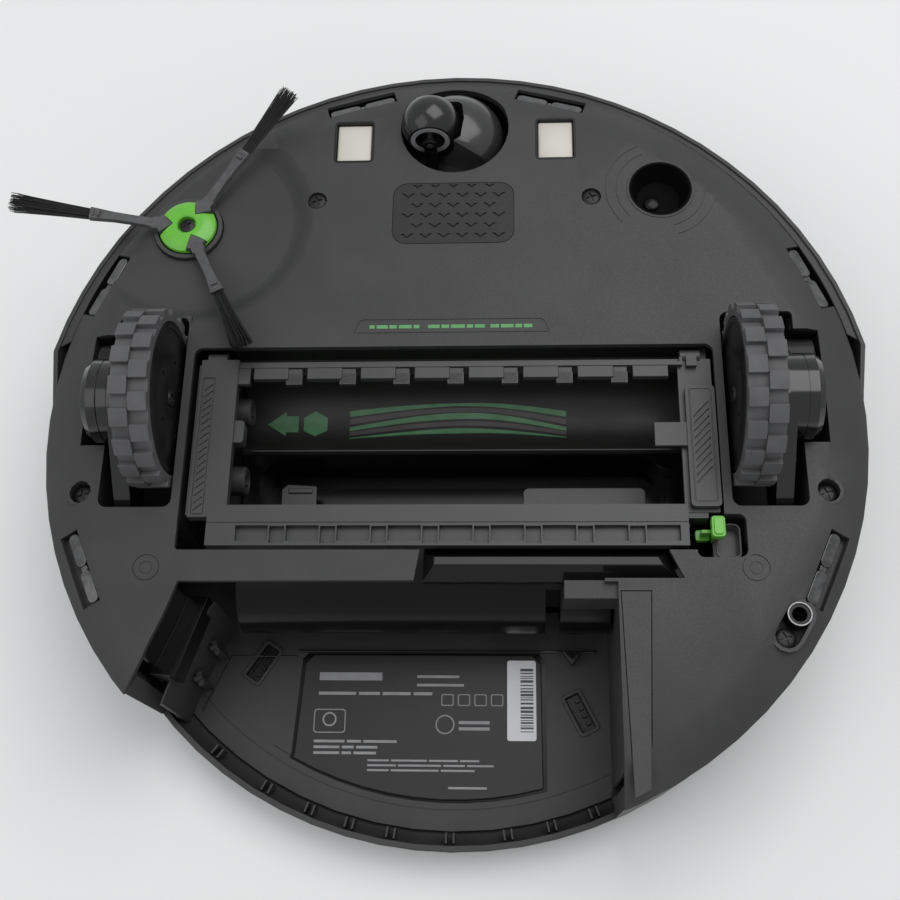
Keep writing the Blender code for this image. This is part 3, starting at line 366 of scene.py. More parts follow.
def build_cover():
    tool = Form()
    for x in (-117.0, 117.0):
        tool.band(arc(0, 0, 5.3, 0, 360, 40)[:-1], arc(0, 0, 4.85, 0, 360, 40)[:-1], 77.6, 79, at(x, -65.2,
                0))
        tool.band(arc(0, 0, 2.6, 0, 360, 24)[:-1], arc(0, 0, 2.3, 0, 360, 24)[:-1], 77.75, 79, at(x, -65.2,
                0))
    for radius in (19.0, 23.5):
        for start in (112, 286):
            tool.sector(radius - 0.25, radius + 0.25, start, start + 112, 77.75, 79, at(*SENSOR, 0), 20)
    tool.band([(-40.6, 35.6), (-38.6, 41.0), (-36.8, 42.0), (36.8, 42.0), (38.6, 41.0), (40.6, 35.6)],
              [(-40.0, 35.9), (-38.2, 40.7), (-36.6, 41.6), (36.6, 41.6), (38.2, 40.7), (40.0, 35.9)], 77.7,
                      79)
    skin = carve(carried("bottom_cover"), tool)
    slope = [(41.0 + step, 73.15 + 4.87 * (step / 11) ** 2 * (3 - 2 * step / 11)) for step in range(11, -1,
            -1)]
    bowl = Form().lathe([(0, 90), (52.0, 90), *slope, (0, 73.15)], at(-112.0, 92.0, 0), 96)
    carve(skin, bowl)
    fills = Form()
    for side in (-1, 1):
        for x, y, way_x, way_y, radius in ((110.0, -40.4, 1, 1, 3.5), (139.5, -40.4, -1, 1, 3.5),
                                           (110.0, 44.0, 1, -1, 3.5), (139.5, 44.0, -1, -1, 2.0)):
            fills.corner(side * x, y, side * way_x, way_y, radius, 75.7, 78.0)
    for x, y, way_x, way_y, radius in ((-106.6, 29.5, 1, -1, 3.5), (106.6, 29.5, -1, -1, 3.5),
                                       (-106.6, -58.0, 1, 1, 1.5), (95.5, -61.0, 1, 1, 2.5),
                                       (114.7, -61.0, -1, 1, 3.5), (114.7, -43.6, -1, -1, 3.0)):
        fills.corner(x, y, way_x, way_y, radius, 75.7, 78.0)
    fuse(skin, fills)
    show(skin, "body", "shell", "bottom_cover", bevel=0.3)
    bars = Form()
    x = -34.0
    for length, gap in ((2.2, 0.8), (4.6, 0.7), (3.1, 0.8), (5.4, 0.8), (2.4, 3.6), (4.8, 0.8), (3.2, 0.7),
            (5.8, 0.8),
                        (2.6, 0.7), (4.2, 2.2), (3.6, 0.8), (5.2, 0.7), (2.8, 0.8), (3.4, 0.0)):
        bars.block((x, 37.7, 77.95), (x + length, 39.3, 78.08))
        x += length + gap
    show(("nameplate_bars", bars), "body", "lime", look=LEAF, bevel=0)
    notch = Form().band(rounded(103.6, -59.6, 113.4, -45.4, 2.6), rounded(104.4, -58.8, 112.6, -46.2, 2.0),
            70.5, 71.6)
    notch.prism(rounded(103.0, -60.4, 114.2, -44.4, 2.6), 66.0, 66.6)
    show(("notch_rim", notch), "body", "shell", look=LOOKS["frame"], bevel=0.2)
    plain("side_strip", "body", "shell", bevel=0.25)


def build_chevron_pad():
    pad = carried("chevron_pad")
    marks = Form()
    for row in range(6):
        y = 107.2 - 5.05 * row
        top = min(y + 1.35, 107.9)
        cut_x = 2.9 * (top - (y - 1.35)) / 2.7
        for column in range(-3, 4):
            x = 7.85 * column + (0.0 if row % 2 == 0 else 3.92)
            if abs(x) > 23.0:
                continue
            marks.prism([(x - cut_x, top), (x, y - 1.35), (x + cut_x, top), (x + cut_x - 1.3, top),
                         (x, y - 0.15), (x - cut_x + 1.3, top)], 77.4, 78.6)
    show(carve(pad, marks), "body", "frame", "chevron_pad", bevel=0.15, look=PAD)


def build_small_fittings():
    for side, word in SIDES:
        screw_head(f"cover_screw_head_{word}", f"cover_screw_{word}", "body", side * 59.4, 100.7, 77.8, 3.9,
                look=DARK_STEEL)
        screw_head(f"recessed_screw_head_{word}", f"recessed_screw_{word}", "body", side * 147.3, -33.7,
                73.6, 4.1,
                   look=DARK_STEEL)
        plain(f"charging_contact_{word}", "body", "nickel", bevel=1.0)
        x = side * 44.5
        show((f"contact_edge_{word}", Form().band(rounded(x - 8.9, 120.1, x + 8.9, 141.9, 1.8),
                                                  rounded(x - 7.9, 121.1, x + 7.9, 140.9, 1.0), 77.4, 78.15)),
             "body", "dark", bevel=0.15)
    screw_head("slot_screw_head", "slot_screw", "body", 126.9, -90.9, 72.4, 4.2, look=DARK_STEEL)
    lining = Form().band(arc(0, 0, 4.6, 0, 360, 40)[:-1], arc(0, 0, 2.7, 0, 360, 40)[:-1], 69.0, 76.2,
            at(132.0, -82.6, 0))
    show(("slot_tube", lining), "body", "shell", look=LOOKS["dark"], bevel=0.3)
    ring = Form().band(arc(0, 0, 4.7, 0, 360, 40)[:-1], arc(0, 0, 4.0, 0, 360, 40)[:-1], 76.2, 76.9,
            at(132.0, -82.6, 0))
    show(("slot_tube_ring", ring), "body", "steel", bevel=0.2)
    # The cup takes the dead-black look: painted shade inside the recess.
    sensor = Form().lathe([(0, 66.0), (9.5, 66.0), (14.2, 71.0), (14.2, 77.9), (13.9, 78.2), (12.6, 78.2),
                           (12.2, 77.4), (11.9, 74.4), (9.2, 69.0), (0, 68.6)], at(*SENSOR, 0), 56)
    show(("sensor_cup", sensor), "body", "dark", "floor_sensor", look=PAINTED_SHADE_VOID, bevel=0)
    lens = Form().lathe([(0, 70.6), (2.6, 70.5), (3.4, 70.0), (3.4, 68.9), (0, 68.9)], at(-3.0, -2.0,
            0) @ at(*SENSOR, 0), 32)
    show(("sensor_lens", lens), "body", "dark", look=BLACK_AND_PAINTED_SHADE, bevel=0.1)
    rim = Form().band(arc(0, 0, 14.5, 0, 360, 56)[:-1], arc(0, 0, 13.4, 0, 360, 56)[:-1], 77.7, 78.3,
            at(*SENSOR, 0))
    show(("sensor_rim", rim), "body", "dark", look=LOOKS["deck"], bevel=0.15)


CLIFF_SPOTS = {"front_right": (74.6, 160.4), "right": (22.8, 163.4), "rear_right": (-24.2, 158.3),
               "front_left": (105.4, 160.4), "left": (157.2, 163.4), "rear_left": (204.2, 158.3)}
SLOPE = math.atan2(6.4, 16.1)


def chamfer_place(angle, radius, drop=0.0):
    """A place on the rim's slope whose own X points outwards and Z away from the slope."""
    t = math.radians(angle)
    z = 78.0 - (radius - 149.5) * math.tan(SLOPE)
    return (Matrix.Translation((radius * math.cos(t), radius * math.sin(t), z)) @ Matrix.Rotation(t, 4, "Z")
            @ Matrix.Rotation(SLOPE, 4, "Y") @ Matrix.Translation((0, 0, drop)))


def build_cliff_windows():
    for word, spot in CLIFF_SPOTS.items():
        to = chamfer_place(*spot)
        pane = Form()
        pane.prism(rounded(-3.4, -15.0, 1.6, -1.0, 2.2), -3.2, -1.1, to)
        pane.prism(rounded(-3.4, 1.0, 1.6, 15.0, 2.2), -3.2, -1.1, to)
        pane.block((-2.4, -1.1, -3.0), (0.6, 1.1, -1.6), to)
        show((f"cliff_pane_{word}", pane), "body", "window", f"cliff_window_{word}", bevel=0.4, segments=3)
        eyes = Form()
        for y in (-9.5, -4.5, 4.5, 9.5):
            eyes.lathe([(0, -3.6), (1.7, -3.7), (1.9, -4.4), (1.9, -5.0), (0, -5.0)], to @ at(-0.9, y, 0), 16)
        eyes.block((-3.6, -14.8, -6.0), (1.8, 14.8, -4.8), to)
        show((f"cliff_eyes_{word}", eyes), "body", "window", look=LOOKS["dark"], bevel=0.1)


# ---------------------------------------------------------------- wheels
WHEEL_Y, WHEEL_Z = 3.0, 85.8


def build_wheel(side, word):
    body = f"wheel_{word}"
    middle = at(side * 118.65, WHEEL_Y, WHEEL_Z) @ turn_to("X")
    tyre = Form().lathe([(31.0, -7.35), (33.5, -7.35), (33.8, -7.05), (33.8, 7.05), (33.5, 7.35), (31.0,
            7.35)],
                        middle, 90, closed=True)
    tyre = tyre.object(f"tyre_tread_{word}")
    blocks = Form()
    for index in range(18):
        start = 20 * index
        inner = (-side * 7.35, -side * 0.15)
        outer = (-side * -7.35, -side * -0.15)
        blocks.sector(33.2, 36.0, start, start + 11.4, *sorted(inner), middle, 3)
        blocks.sector(33.2, 36.0, start + 10, start + 21.4, *sorted(outer), middle, 3)
    blocks = blocks.object("blocks")
    bpy.context.view_layer.update()
    merged = bmesh.new()
    merged.from_mesh(tyre.data)
    merged.from_mesh(blocks.data)
    merged.to_mesh(tyre.data)
    merged.free()
    bpy.data.objects.remove(blocks, do_unlink=True)
    show(tyre, body, "tyre", f"tyre_{word}", bevel=0.25)

    inward = 1 if side < 0 else -1
    face = [(1.9, 7.2), (3.0, 7.2), (3.4, 6.4), (8.5, 6.6), (9.3, 7.0), (21.5, 7.25), (22.5, 6.9), (27.6,
            6.7),
            (28.3, 7.25), (30.2, 7.25), (30.7, 6.7)]
    back = [(30.7, -6.7), (27.0, -6.7), (26.0, -4.0), (8.0, -4.0), (6.0, -6.5), (3.3, -6.5), (3.3, 5.4),
            (1.9, 5.4)]
    hub = Form().lathe([(r, h * inward) for r, h in face + back], middle, 72,
            closed=True).object(f"hub_disc_{word}")
    pits = Form()
    for index in range(5):
        t = math.radians(72 * index + 20)
        pits.rod(1.1, *sorted((inward * 6.3, inward * 9.0)), middle @ at(15.5 * math.cos(t),
                15.5 * math.sin(t), 0), 14)
    show(carve(hub, pits), body, "dark", f"wheel_hub_{word}", bevel=0.12)
    cap = Form().lathe([(0, 6.6), (1.4, 6.6), (1.7, 6.3), (1.7, 5.0), (0, 5.0)],
                       middle @ (IDENTITY if inward > 0 else Matrix.Rotation(math.pi, 4, "X")), 20)
    show((f"hub_screw_{word}", cap), body, "dark", look=LOOKS["steel"], bevel=0.1)


def belt(circles, steps=72):
    """The outline of a belt stretched round circles given as (x, y, radius)."""
    loop = []
    for i in range(steps):
        way = (math.cos(2 * math.pi * i / steps), math.sin(2 * math.pi * i / steps))
        reach = max(circles, key=lambda c: c[0] * way[0] + c[1] * way[1] + c[2])
        loop.append((reach[0] + reach[2] * way[0], reach[1] + reach[2] * way[1]))
    return loop


def build_suspension(side, word):
    body = f"suspension_{word}"

    def stretch(near, far):
        return sorted((side * near, side * far))

    arm = Form()
    arm.prism(belt([(3.2, 83.0, 17.2), (-44.0, 63.0, 5.5), (26.2, 71.0, 8.5)]), *stretch(127.3, 134.0), LAY)
    arm = arm.object(f"arm_{word}")
    drum = Form()
    drum.lathe([(0, 134.0 - 3), (17.2, 134.0 - 3), (17.2, 138.0), (16.9, 138.05), (16.9, 138.3), (17.2,
            138.35),
                (17.2, 142.2), (15.6, 144.6), (13.2, 145.0), (0, 145.0)], at(0, 3.2, 83.0) @ turn_to("X")
               if side > 0 else at(0, 3.2, 83.0) @ Matrix.Rotation(-math.pi / 2, 4, "Y"), 72)
    fuse(arm, drum)
    rest = Form()
    rest.rod(3.0, *stretch(113.5, 128.0), at(0, WHEEL_Y, WHEEL_Z) @ turn_to("X"), 20)
    rest.rod(2.2, *stretch(118.0, 140.8), at(0, -44.0, 63.0) @ turn_to("X"), 20)
    fuse(arm, rest)
    show(arm, body, "gloss", f"suspension_arm_{word}", bevel=0.3)
    motor = Form().lathe([(0, 134.7), (7.5, 134.7), (7.5, 146.6), (6.8, 147.3), (3.0, 147.3), (3.0, 148.5),
            (0, 148.5)],
                         at(0, 26.2, 71.0) @ Matrix.Rotation(side * math.pi / 2, 4, "Y"), 40)
    show((f"motor_can_{word}", motor), body, "steel", f"drive_motor_{word}", look=LOOKS["dark"], bevel=0.15)
    plain(f"suspension_spring_{word}", body, "steel", bevel=0)


# ---------------------------------------------------------------- caster
def build_caster():
    hub = at(-10.6, 138.0, 80.0) @ turn_to("Y")
    ball = [(12.9 * math.cos(math.radians(a)), 12.9 * math.sin(math.radians(a))) for a in range(-41, 42, 4)]
    wheel = Form().lathe([(1.8, -6.6), (5.2, -6.6), (5.6, -8.0), (8.6, -8.5)] + ball
                         + [(8.6, 8.5), (5.6, 8.0), (5.2, 6.6), (1.8, 6.6)], hub, 64, closed=True)
    show(("caster_ball", wheel), "caster_wheel", "gloss", "caster_wheel", look=BALL, bevel=0)
    ring = Form()
    for end in (-1, 1):
        ring.band(arc(0, 0, 8.6, 0, 360, 48)[:-1], arc(0, 0, 6.6, 0, 360, 48)[:-1], *sorted((end * 8.0,
                end * 8.8)), hub)
    show(("caster_wheel_rings", ring), "caster_wheel", "gloss", look=PRINT, bevel=0.1)
    dome = [(21.8 * math.cos(math.radians(a)), 67.5 + 17.0 * math.sin(math.radians(a))) for a in range(-60,
            90, 6)]
    fork = Form().lathe([(0, 52.8)] + dome + [(0, 84.5)], at(0, 138.0, 0), 72).object("caster_fork_shell")
    pocket = Form().lathe([(0, -10.4), (10.5, -10.4), (13.9, -8.5), (15.6, 0), (14.4, 8.5), (12.5, 10.2),
            (0, 10.2)],
                          hub, 64)
    carve(fork, pocket)
    carve(fork, Form().block((-30, -30, -14), (30, 0, 30), at(-3.0, 138.0 - 9.3, 76.0, -20)))
    carve(fork, Form().block((-40, -40, 0), (40, 40, 30), at(0, 127.6, 82.2)
                             @ Matrix.Rotation(math.radians(56), 4, "X")))
    fuse(fork, Form().rod(4.0, 38.0, 56.0, at(0, 138.0, 0), 24))
    show(fork, "caster_swivel", "gloss", "caster_fork", look=SATIN, bevel=0.35, segments=3)
    # The lugs belong to the fork but take the near-black look instead of the fork's satin grey: painted shade
    # between fork and wheel.
    lugs = Form()
    for y in (-11.6, 9.5):
        lugs.rod(3.4, y, y + 2.1, at(-10.6, 138.0, 80.0) @ turn_to("Y"), 24)
        lugs.block((-13.4, 138.0 + y, 60.0), (-7.8, 138.0 + y + 2.1, 79.0))
    show(("caster_lugs_painted_shade", lugs), "caster_swivel", "gloss", look=LOOKS["dark"], bevel=0.25)
    show(("caster_axle_pin", Form().rod(1.5, -11.7, 11.7, hub, 20)), "caster_swivel", "steel",
            "caster_axle", bevel=0.2)
    plain("caster_socket", "body", "dark", bevel=0.3)


# ---------------------------------------------------------------- side brush
BRUSH = (-116.0, 89.5)
ARMS = {"left": 176.5, "front": 53.5, "rear": 296.3}


def brush_height(reach):
    return 77.6 + 14.4 * (reach - 12.0) / 63.0


def arm_place(angle):
    return at(*BRUSH, 0, angle)


def build_side_brush():
    hub = Form().lathe([(4.0, 75.2), (4.0, 78.2), (4.6, 78.7), (6.0, 78.8), (8.5, 78.4), (10.8, 77.6),
            (12.3, 76.6),
                        (12.6, 75.9), (12.6, 75.2)], at(*BRUSH, 0), 72, closed=True).object("brush_hub")
    arrow = [(6.0, 0), (11.3, -4.7), (12.3, -3.0), (15.5, -2.9), (15.5, 2.9), (12.3, 3.0), (11.3, 4.7)]
    notch = Form()
    for angle in ARMS.values():
        notch.prism([(x * 1.02 - 0.3, y * 1.08) for x, y in arrow], 74, 80, arm_place(angle))
    carve(hub, notch)
    show(hub, "side_brush", "lime", "side_brush_hub", bevel=0.3, segments=3)
    floor = Form().rod(3.8, 66.6, 76.0, at(*BRUSH, 0), 32)
    show(("brush_hub_floor", floor), "side_brush", "lime", bevel=0.2)
    head = Form().lathe([(0, 77.6), (2.2, 77.5), (3.2, 77.0), (3.2, 76.1), (0, 76.1)], at(*BRUSH, 0), 32)
    head = carve(head.object("brush_screw"), cross_recess(Form(), 2.0, 0.7, at(*BRUSH, 77.6, 35)))
    show(head, "side_brush", "steel", "side_brush_screw", look=DARK_STEEL, bevel=0.08)

    arms = Form().lathe([(4.2, 72.8), (11.6, 72.8), (11.6, 74.9), (4.2, 74.9)], at(*BRUSH, 0), 48,
            closed=True)
    for angle in ARMS.values():
        to = arm_place(angle)
        arms.prism([(x + 0.1, y * 0.96) for x, y in arrow], 75.0, 78.9, to)
        widths = ((12.5, 2.7, 77.6), (17, 2.4, 78.6), (24, 2.2, 80.4), (31, 2.3, 82.0), (35.5, 2.7, 83.0),
                (41, 3.2, 84.2))
        points, faces = [], []
        for x, half, z in widths:
            points += [(x, -half, z - 1.2), (x, half, z - 1.2), (x, half * 0.86, z + 1.1), (x, -half * 0.86,
                    z + 1.1)]
        for ring in range(len(widths) - 1):
            for i in range(4):
                j = (i + 1) % 4
                faces.append((4 * ring + i, 4 * ring + j, 4 * ring + 4 + j, 4 * ring + 4 + i))
        last = 4 * len(widths) - 4
        faces += [(3, 2, 1, 0), (last, last + 1, last + 2, last + 3)]
        arms.shell(points, faces, to)
        for x in (36.5, 39.0):
            arms.block((x, -1.6, 83.6), (x + 1.1, 1.6, 85.4), to)
    show(("brush_arms", arms), "side_brush", "rubber", "side_brush_arms", bevel=0.3)

    for word, angle in ARMS.items():
        tuft = Form()
        to = arm_place(angle)
        for index in range(150):
            across = random.uniform(-1, 1)
            upward = random.uniform(-1, 1)
            reach = 74.0 - 5.0 * random.random() ** 2
            sway = random.uniform(-0.6, 0.6)
            path, radii = [], []
            for step in range(5):
                t = step / 4
                x = 40.2 + (reach - 40.2) * t
                y = across * (2.3 + 1.9 * t ** 1.2) + sway * t * t
                z = brush_height(x) - 0.6 + upward * (0.7 + 0.8 * t)
                path.append(to @ Vector((x, y, z)))
                radii.append(0.22 - 0.09 * t)
            tuft.strand(path, radii)
        show((f"tuft_{word}", tuft), "side_brush", "bristle", f"bristles_{word}", bevel=0, smooth=70)
    plain("side_brush_gearbox", "body", "frame", bevel=0.25)
    ring = Form().band(arc(0, 0, 14.1, 0, 360, 72)[:-1], arc(0, 0, 13.1, 0, 360, 72)[:-1], 73.3, 74.3,
            at(*BRUSH, 0))
    show(("brush_ring", ring), "body", "frame", look=PALE, bevel=0.2)


# ---------------------------------------------------------------- brush bay
def ceiling_height(y):
    """The height of the front tunnel's ceiling."""
    return 60.0 - math.sqrt(max(0.0, 17.0 ** 2 - (y - 8.0) ** 2))


def ceiling_patch(form, columns, rows=6):
    """A thin patch on the front tunnel's ceiling, from (x, low y, high y) columns."""
    n = rows + 1
    points = []
    for lift in (0.05, 0.45):
        for x, low, high in columns:
            for i in range(n):
                y = low + (high - low) * i / rows
                slant = math.atan2(y - 8.0, 60.0 - ceiling_height(y))
                points.append((x, y - lift * math.sin(slant), ceiling_height(y) + lift * math.cos(slant)))
    m = len(columns)
    top = n * m
    faces = []
    for c in range(m - 1):
        for i in range(rows):
            a, b = c * n + i, (c + 1) * n + i
            faces.append((a, a + 1, b + 1, b))
            faces.append((top + a, top + b, top + b + 1, top + a + 1))
    for c in range(m - 1):
        for i in (0, rows):
            a, b = c * n + i, (c + 1) * n + i
            faces.append((a, b, top + b, top + a))
    for c in (0, m - 1):
        for i in range(rows):
            a = c * n + i
            faces.append((a, a + 1, top + a + 1, top + a))
    return form.shell(points, faces)


def stripe(left, middle, right, thick):
    """Columns of a long chevron-like stripe: y at its left end, middle and right end."""
    columns = []
    for i in range(25):
        t = i / 24
        x = -45.2 + 93.3 * t
        if t < 0.55:
            y = left + (middle - left) * math.sin(math.pi / 2 * t / 0.55)
        else:
            y = right + (middle - right) * math.cos(math.pi / 2 * (t - 0.55) / 0.45)
        half = (thick[0] + (thick[1] - thick[0]) * (1 - abs(2 * t - 1))) / 2
        columns.append((x, y - half, y + half))
    return columns


def build_brush_bay():
    front = carve(carried("brush_housing"), Form().block((-95, -95, 10), (110, -6.4, 90)))
    show(front, "body", "gloss", "brush_housing", look=CEILING, bevel=0.25, smooth=20)
    rear = carve(carried("brush_housing"), Form().block((-95, -6.4, 10), (110, 40, 90)))
    rear.name = "bay_rear_shell_painted_shade"
    mouth = arc(77.0, -20.0, 13.0, -90, 90, 24) + arc(-71.0, -20.0, 13.0, 90, 270, 24)
    carve(rear, Form().prism(mouth, 20.6, 56))
    carve(rear, Form().block((-11.0, -72, 69.5), (85.5, -57.9, 80)))
    # The rear of the housing, with the suction mouth, duct and bulge, takes the near-black gloss, darker than
    # the front's satin: black plastic, and painted shade in the mouth and duct.
    show(rear, "body", "gloss", look=BLACK_AND_PAINTED_SHADE, bevel=0.25, smooth=20)
    # A thin light-grey rod along the ridge of the front tunnel: a painted highlight, standing in for the
    # light caught on the ridge's edge.
    ridge_glint_rod = Form().lathe([(0, -86), (0.4, -85.6), (0.4, 91.6), (0, 92)], at(0, -5.3, 49.15) @ turn_to("X"), 12)
    show(("ridge_painted_highlight", ridge_glint_rod), "body", "gloss", look=LOOKS["frame"], bevel=0)
    rim = [(-9.7, -57.5), (84.1, -57.5), (89.6, -68.9), (-9.7, -68.9)]
    top = [(-5.2, -60.6), (80.6, -60.6), (82.4, -63.9), (-5.2, -63.9)]
    points = [(x, y, 69.6) for x, y in rim] + [(x, y, 71.4) for x, y in rim] + [(x, y, 77.4) for x, y in top]
    faces = [(3, 2, 1, 0), (8, 9, 10, 11)]
    for k in range(4):
        n = (k + 1) % 4
        faces += [(k, n, 4 + n, 4 + k), (4 + k, 4 + n, 8 + n, 8 + k)]
    show(("bay_wedge", Form().shell(points, faces)), "body", "gloss", look=WEDGE, bevel=0.3, segments=3)
    green = Form()
    ceiling_patch(green, [(-81.0, 9.3, 9.5), (-73.0, 3.8, 15.0)])
    ceiling_patch(green, [(-73.2, 5.7, 13.2), (-67.6, 5.7, 13.2)])
    ceiling_patch(green, [(-65.4, 6.4, 12.4), (-60.2, 3.6, 15.2), (-55.0, 6.4, 12.4)])
    ceiling_patch(green, stripe(13.9, 17.4, 13.4, (2.4, 1.0)))
    ceiling_patch(green, stripe(7.0, 12.9, 6.6, (1.8, 2.7)))
    ceiling_patch(green, stripe(2.3, 6.0, 2.4, (0.3, 2.6)))
    show(("ceiling_print_green", green), "body", "gloss", look=FADED, bevel=0)
    mauve = Form()
    ceiling_patch(mauve, stripe(10.5, 15.4, 10.0, (2.6, 1.6)))
    ceiling_patch(mauve, stripe(4.6, 9.4, 4.5, (2.0, 2.2)))
    show(("ceiling_print_mauve", mauve), "body", "gloss", look=MAUVE, bevel=0)
    slivers = Form()
    slivers.prism(rounded(29.5, -33.5, 82.0, -15.6, 2.6), 29.4, 31.0)
    slivers.prism([(-75.2, -33.5), (-59.8, -33.5), (-60.2, -14.4), (-73.0, -13.6), (-75.6, -16.0)], 29.4,
            31.0)
    slivers.block((-72.5, -18.0, 30.9), (-62.0, -15.8, 32.0))
    show(("mouth_lips", slivers), "body", "gloss", look=LOOKS["frame"], bevel=0.4)

    plain("brush_drive_gearbox", "body", "dark", bevel=0.5)
    for y, word in ((8.0, "front"), (-23.0, "rear")):
        to = at(-90.2, y, 60.0) @ turn_to("X")
        socket = Form().lathe([(0, 0), (6.0, 0), (6.0, 5.4), (5.4, 6.1), (4.2, 6.1), (4.2, 3.0), (0, 3.0)],
                to, 40)
        socket = socket.object(f"drive_socket_{word}")
        fins = Form()
        for quarter in range(4):
            fins.block((2.6, -0.6, 2.5), (4.6, 0.6, 5.6), to @ Matrix.Rotation(math.pi / 2 * quarter, 4, "Z"))
        show(fuse(socket, fins), f"roller_socket_{word}", "frame", f"roller_socket_{word}",
                look=LOOKS["deck"], bevel=0.2)


def build_brush_frame():
    skin = carried("brush_frame")
    groove = Form()
    groove.band(rounded(-101.9, -43.6, -96.6, 16.0, 0.8, 3), rounded(-101.4, -43.1, -97.1, 15.5, 0.6, 3),
            77.3, 79)
    for index in range(18):
        y = -42.2 + 3.05 * index
        groove.prism([(-100.9, y), (-97.5, y + 2.8), (-97.5, y + 3.5), (-100.9, y + 0.7)], 77.3, 79)
    groove.block((-95, -47.0, 77.4), (92.8, -46.6, 79))
    groove.block((-87.4, 21.9, 75.0), (92.9, 25.0, 80))
    for index in range(8):
        x = -83.3 + 20.0 * index
        groove.block((x + 13.5, -55.3, 75.2), (x + 19.4, -48.3, 79))
    carve(skin, groove)
    comb = Form()
    for index in range(8):
        x = -81.2 + 22.15 * index
        comb.block((x, 15.3, 74.1), (min(x + 14.4, 92.6), 20.4, 77.25))
        comb.block((x - 8.6, 13.2, 74.4), (x - 2.1, 20.4, 76.4))
    show(("comb_blocks", comb), "brush_frame", "frame", bevel=0.35)
    peg = Form()
    peg.prism(rounded(-88.6, -12.2, -83.6, -2.6, 1.4), 70.0, 76.0)
    peg.block((-87.6, 13.4, 74.2), (-82.6, 21.6, 76.9))
    peg.block((-104.3, -43.0, 72.6), (-103.5, 22.5, 75.8))
    for x in (-100.6, 95.6):
        peg.block((x, 20.0, 74.6), (x + 4.2, 24.6, 77.4))
    fuse(skin, peg)
    show(skin, "brush_frame", "frame", "brush_frame", bevel=0.22)

    cover = carried("bearing_cover")
    cuts = Form()
    cuts.band(rounded(95.6, -38.9, 104.6, 9.3, 1.0, 3), rounded(96.1, -38.4, 104.1, 8.8, 0.7, 3), 77.9, 79)
    for index in range(10):
        y = -31.5 + 3.1 * index
        cuts.prism([(97.0, y), (103.2, y + 6.6), (103.2, y + 7.5), (97.0, y + 0.9)], 77.6, 79)
    show(carve(cover, cuts), "brush_frame", "frame", "bearing_cover", bevel=0.15)
    tab = Form()
    tab.prism(rounded(102.5, -51.4, 105.6, -46.2, 1.0), 64.0, 75.0)
    tab.prism(rounded(101.3, -53.0, 106.5, -44.6, 1.3), 74.8, 78.8)
    tab.prism(rounded(102.1, -52.2, 105.7, -45.4, 1.0), 78.6, 79.6)
    tab.prism(rounded(96.5, -51.0, 102.2, -46.5, 1.0), 64.0, 67.0)
    tab.block((98.2, -49.5, 66.5), (102.0, -48.0, 72.0))
    show(("release_key", tab), "release_tab", "lime", "release_tab", bevel=0.35, segments=3)


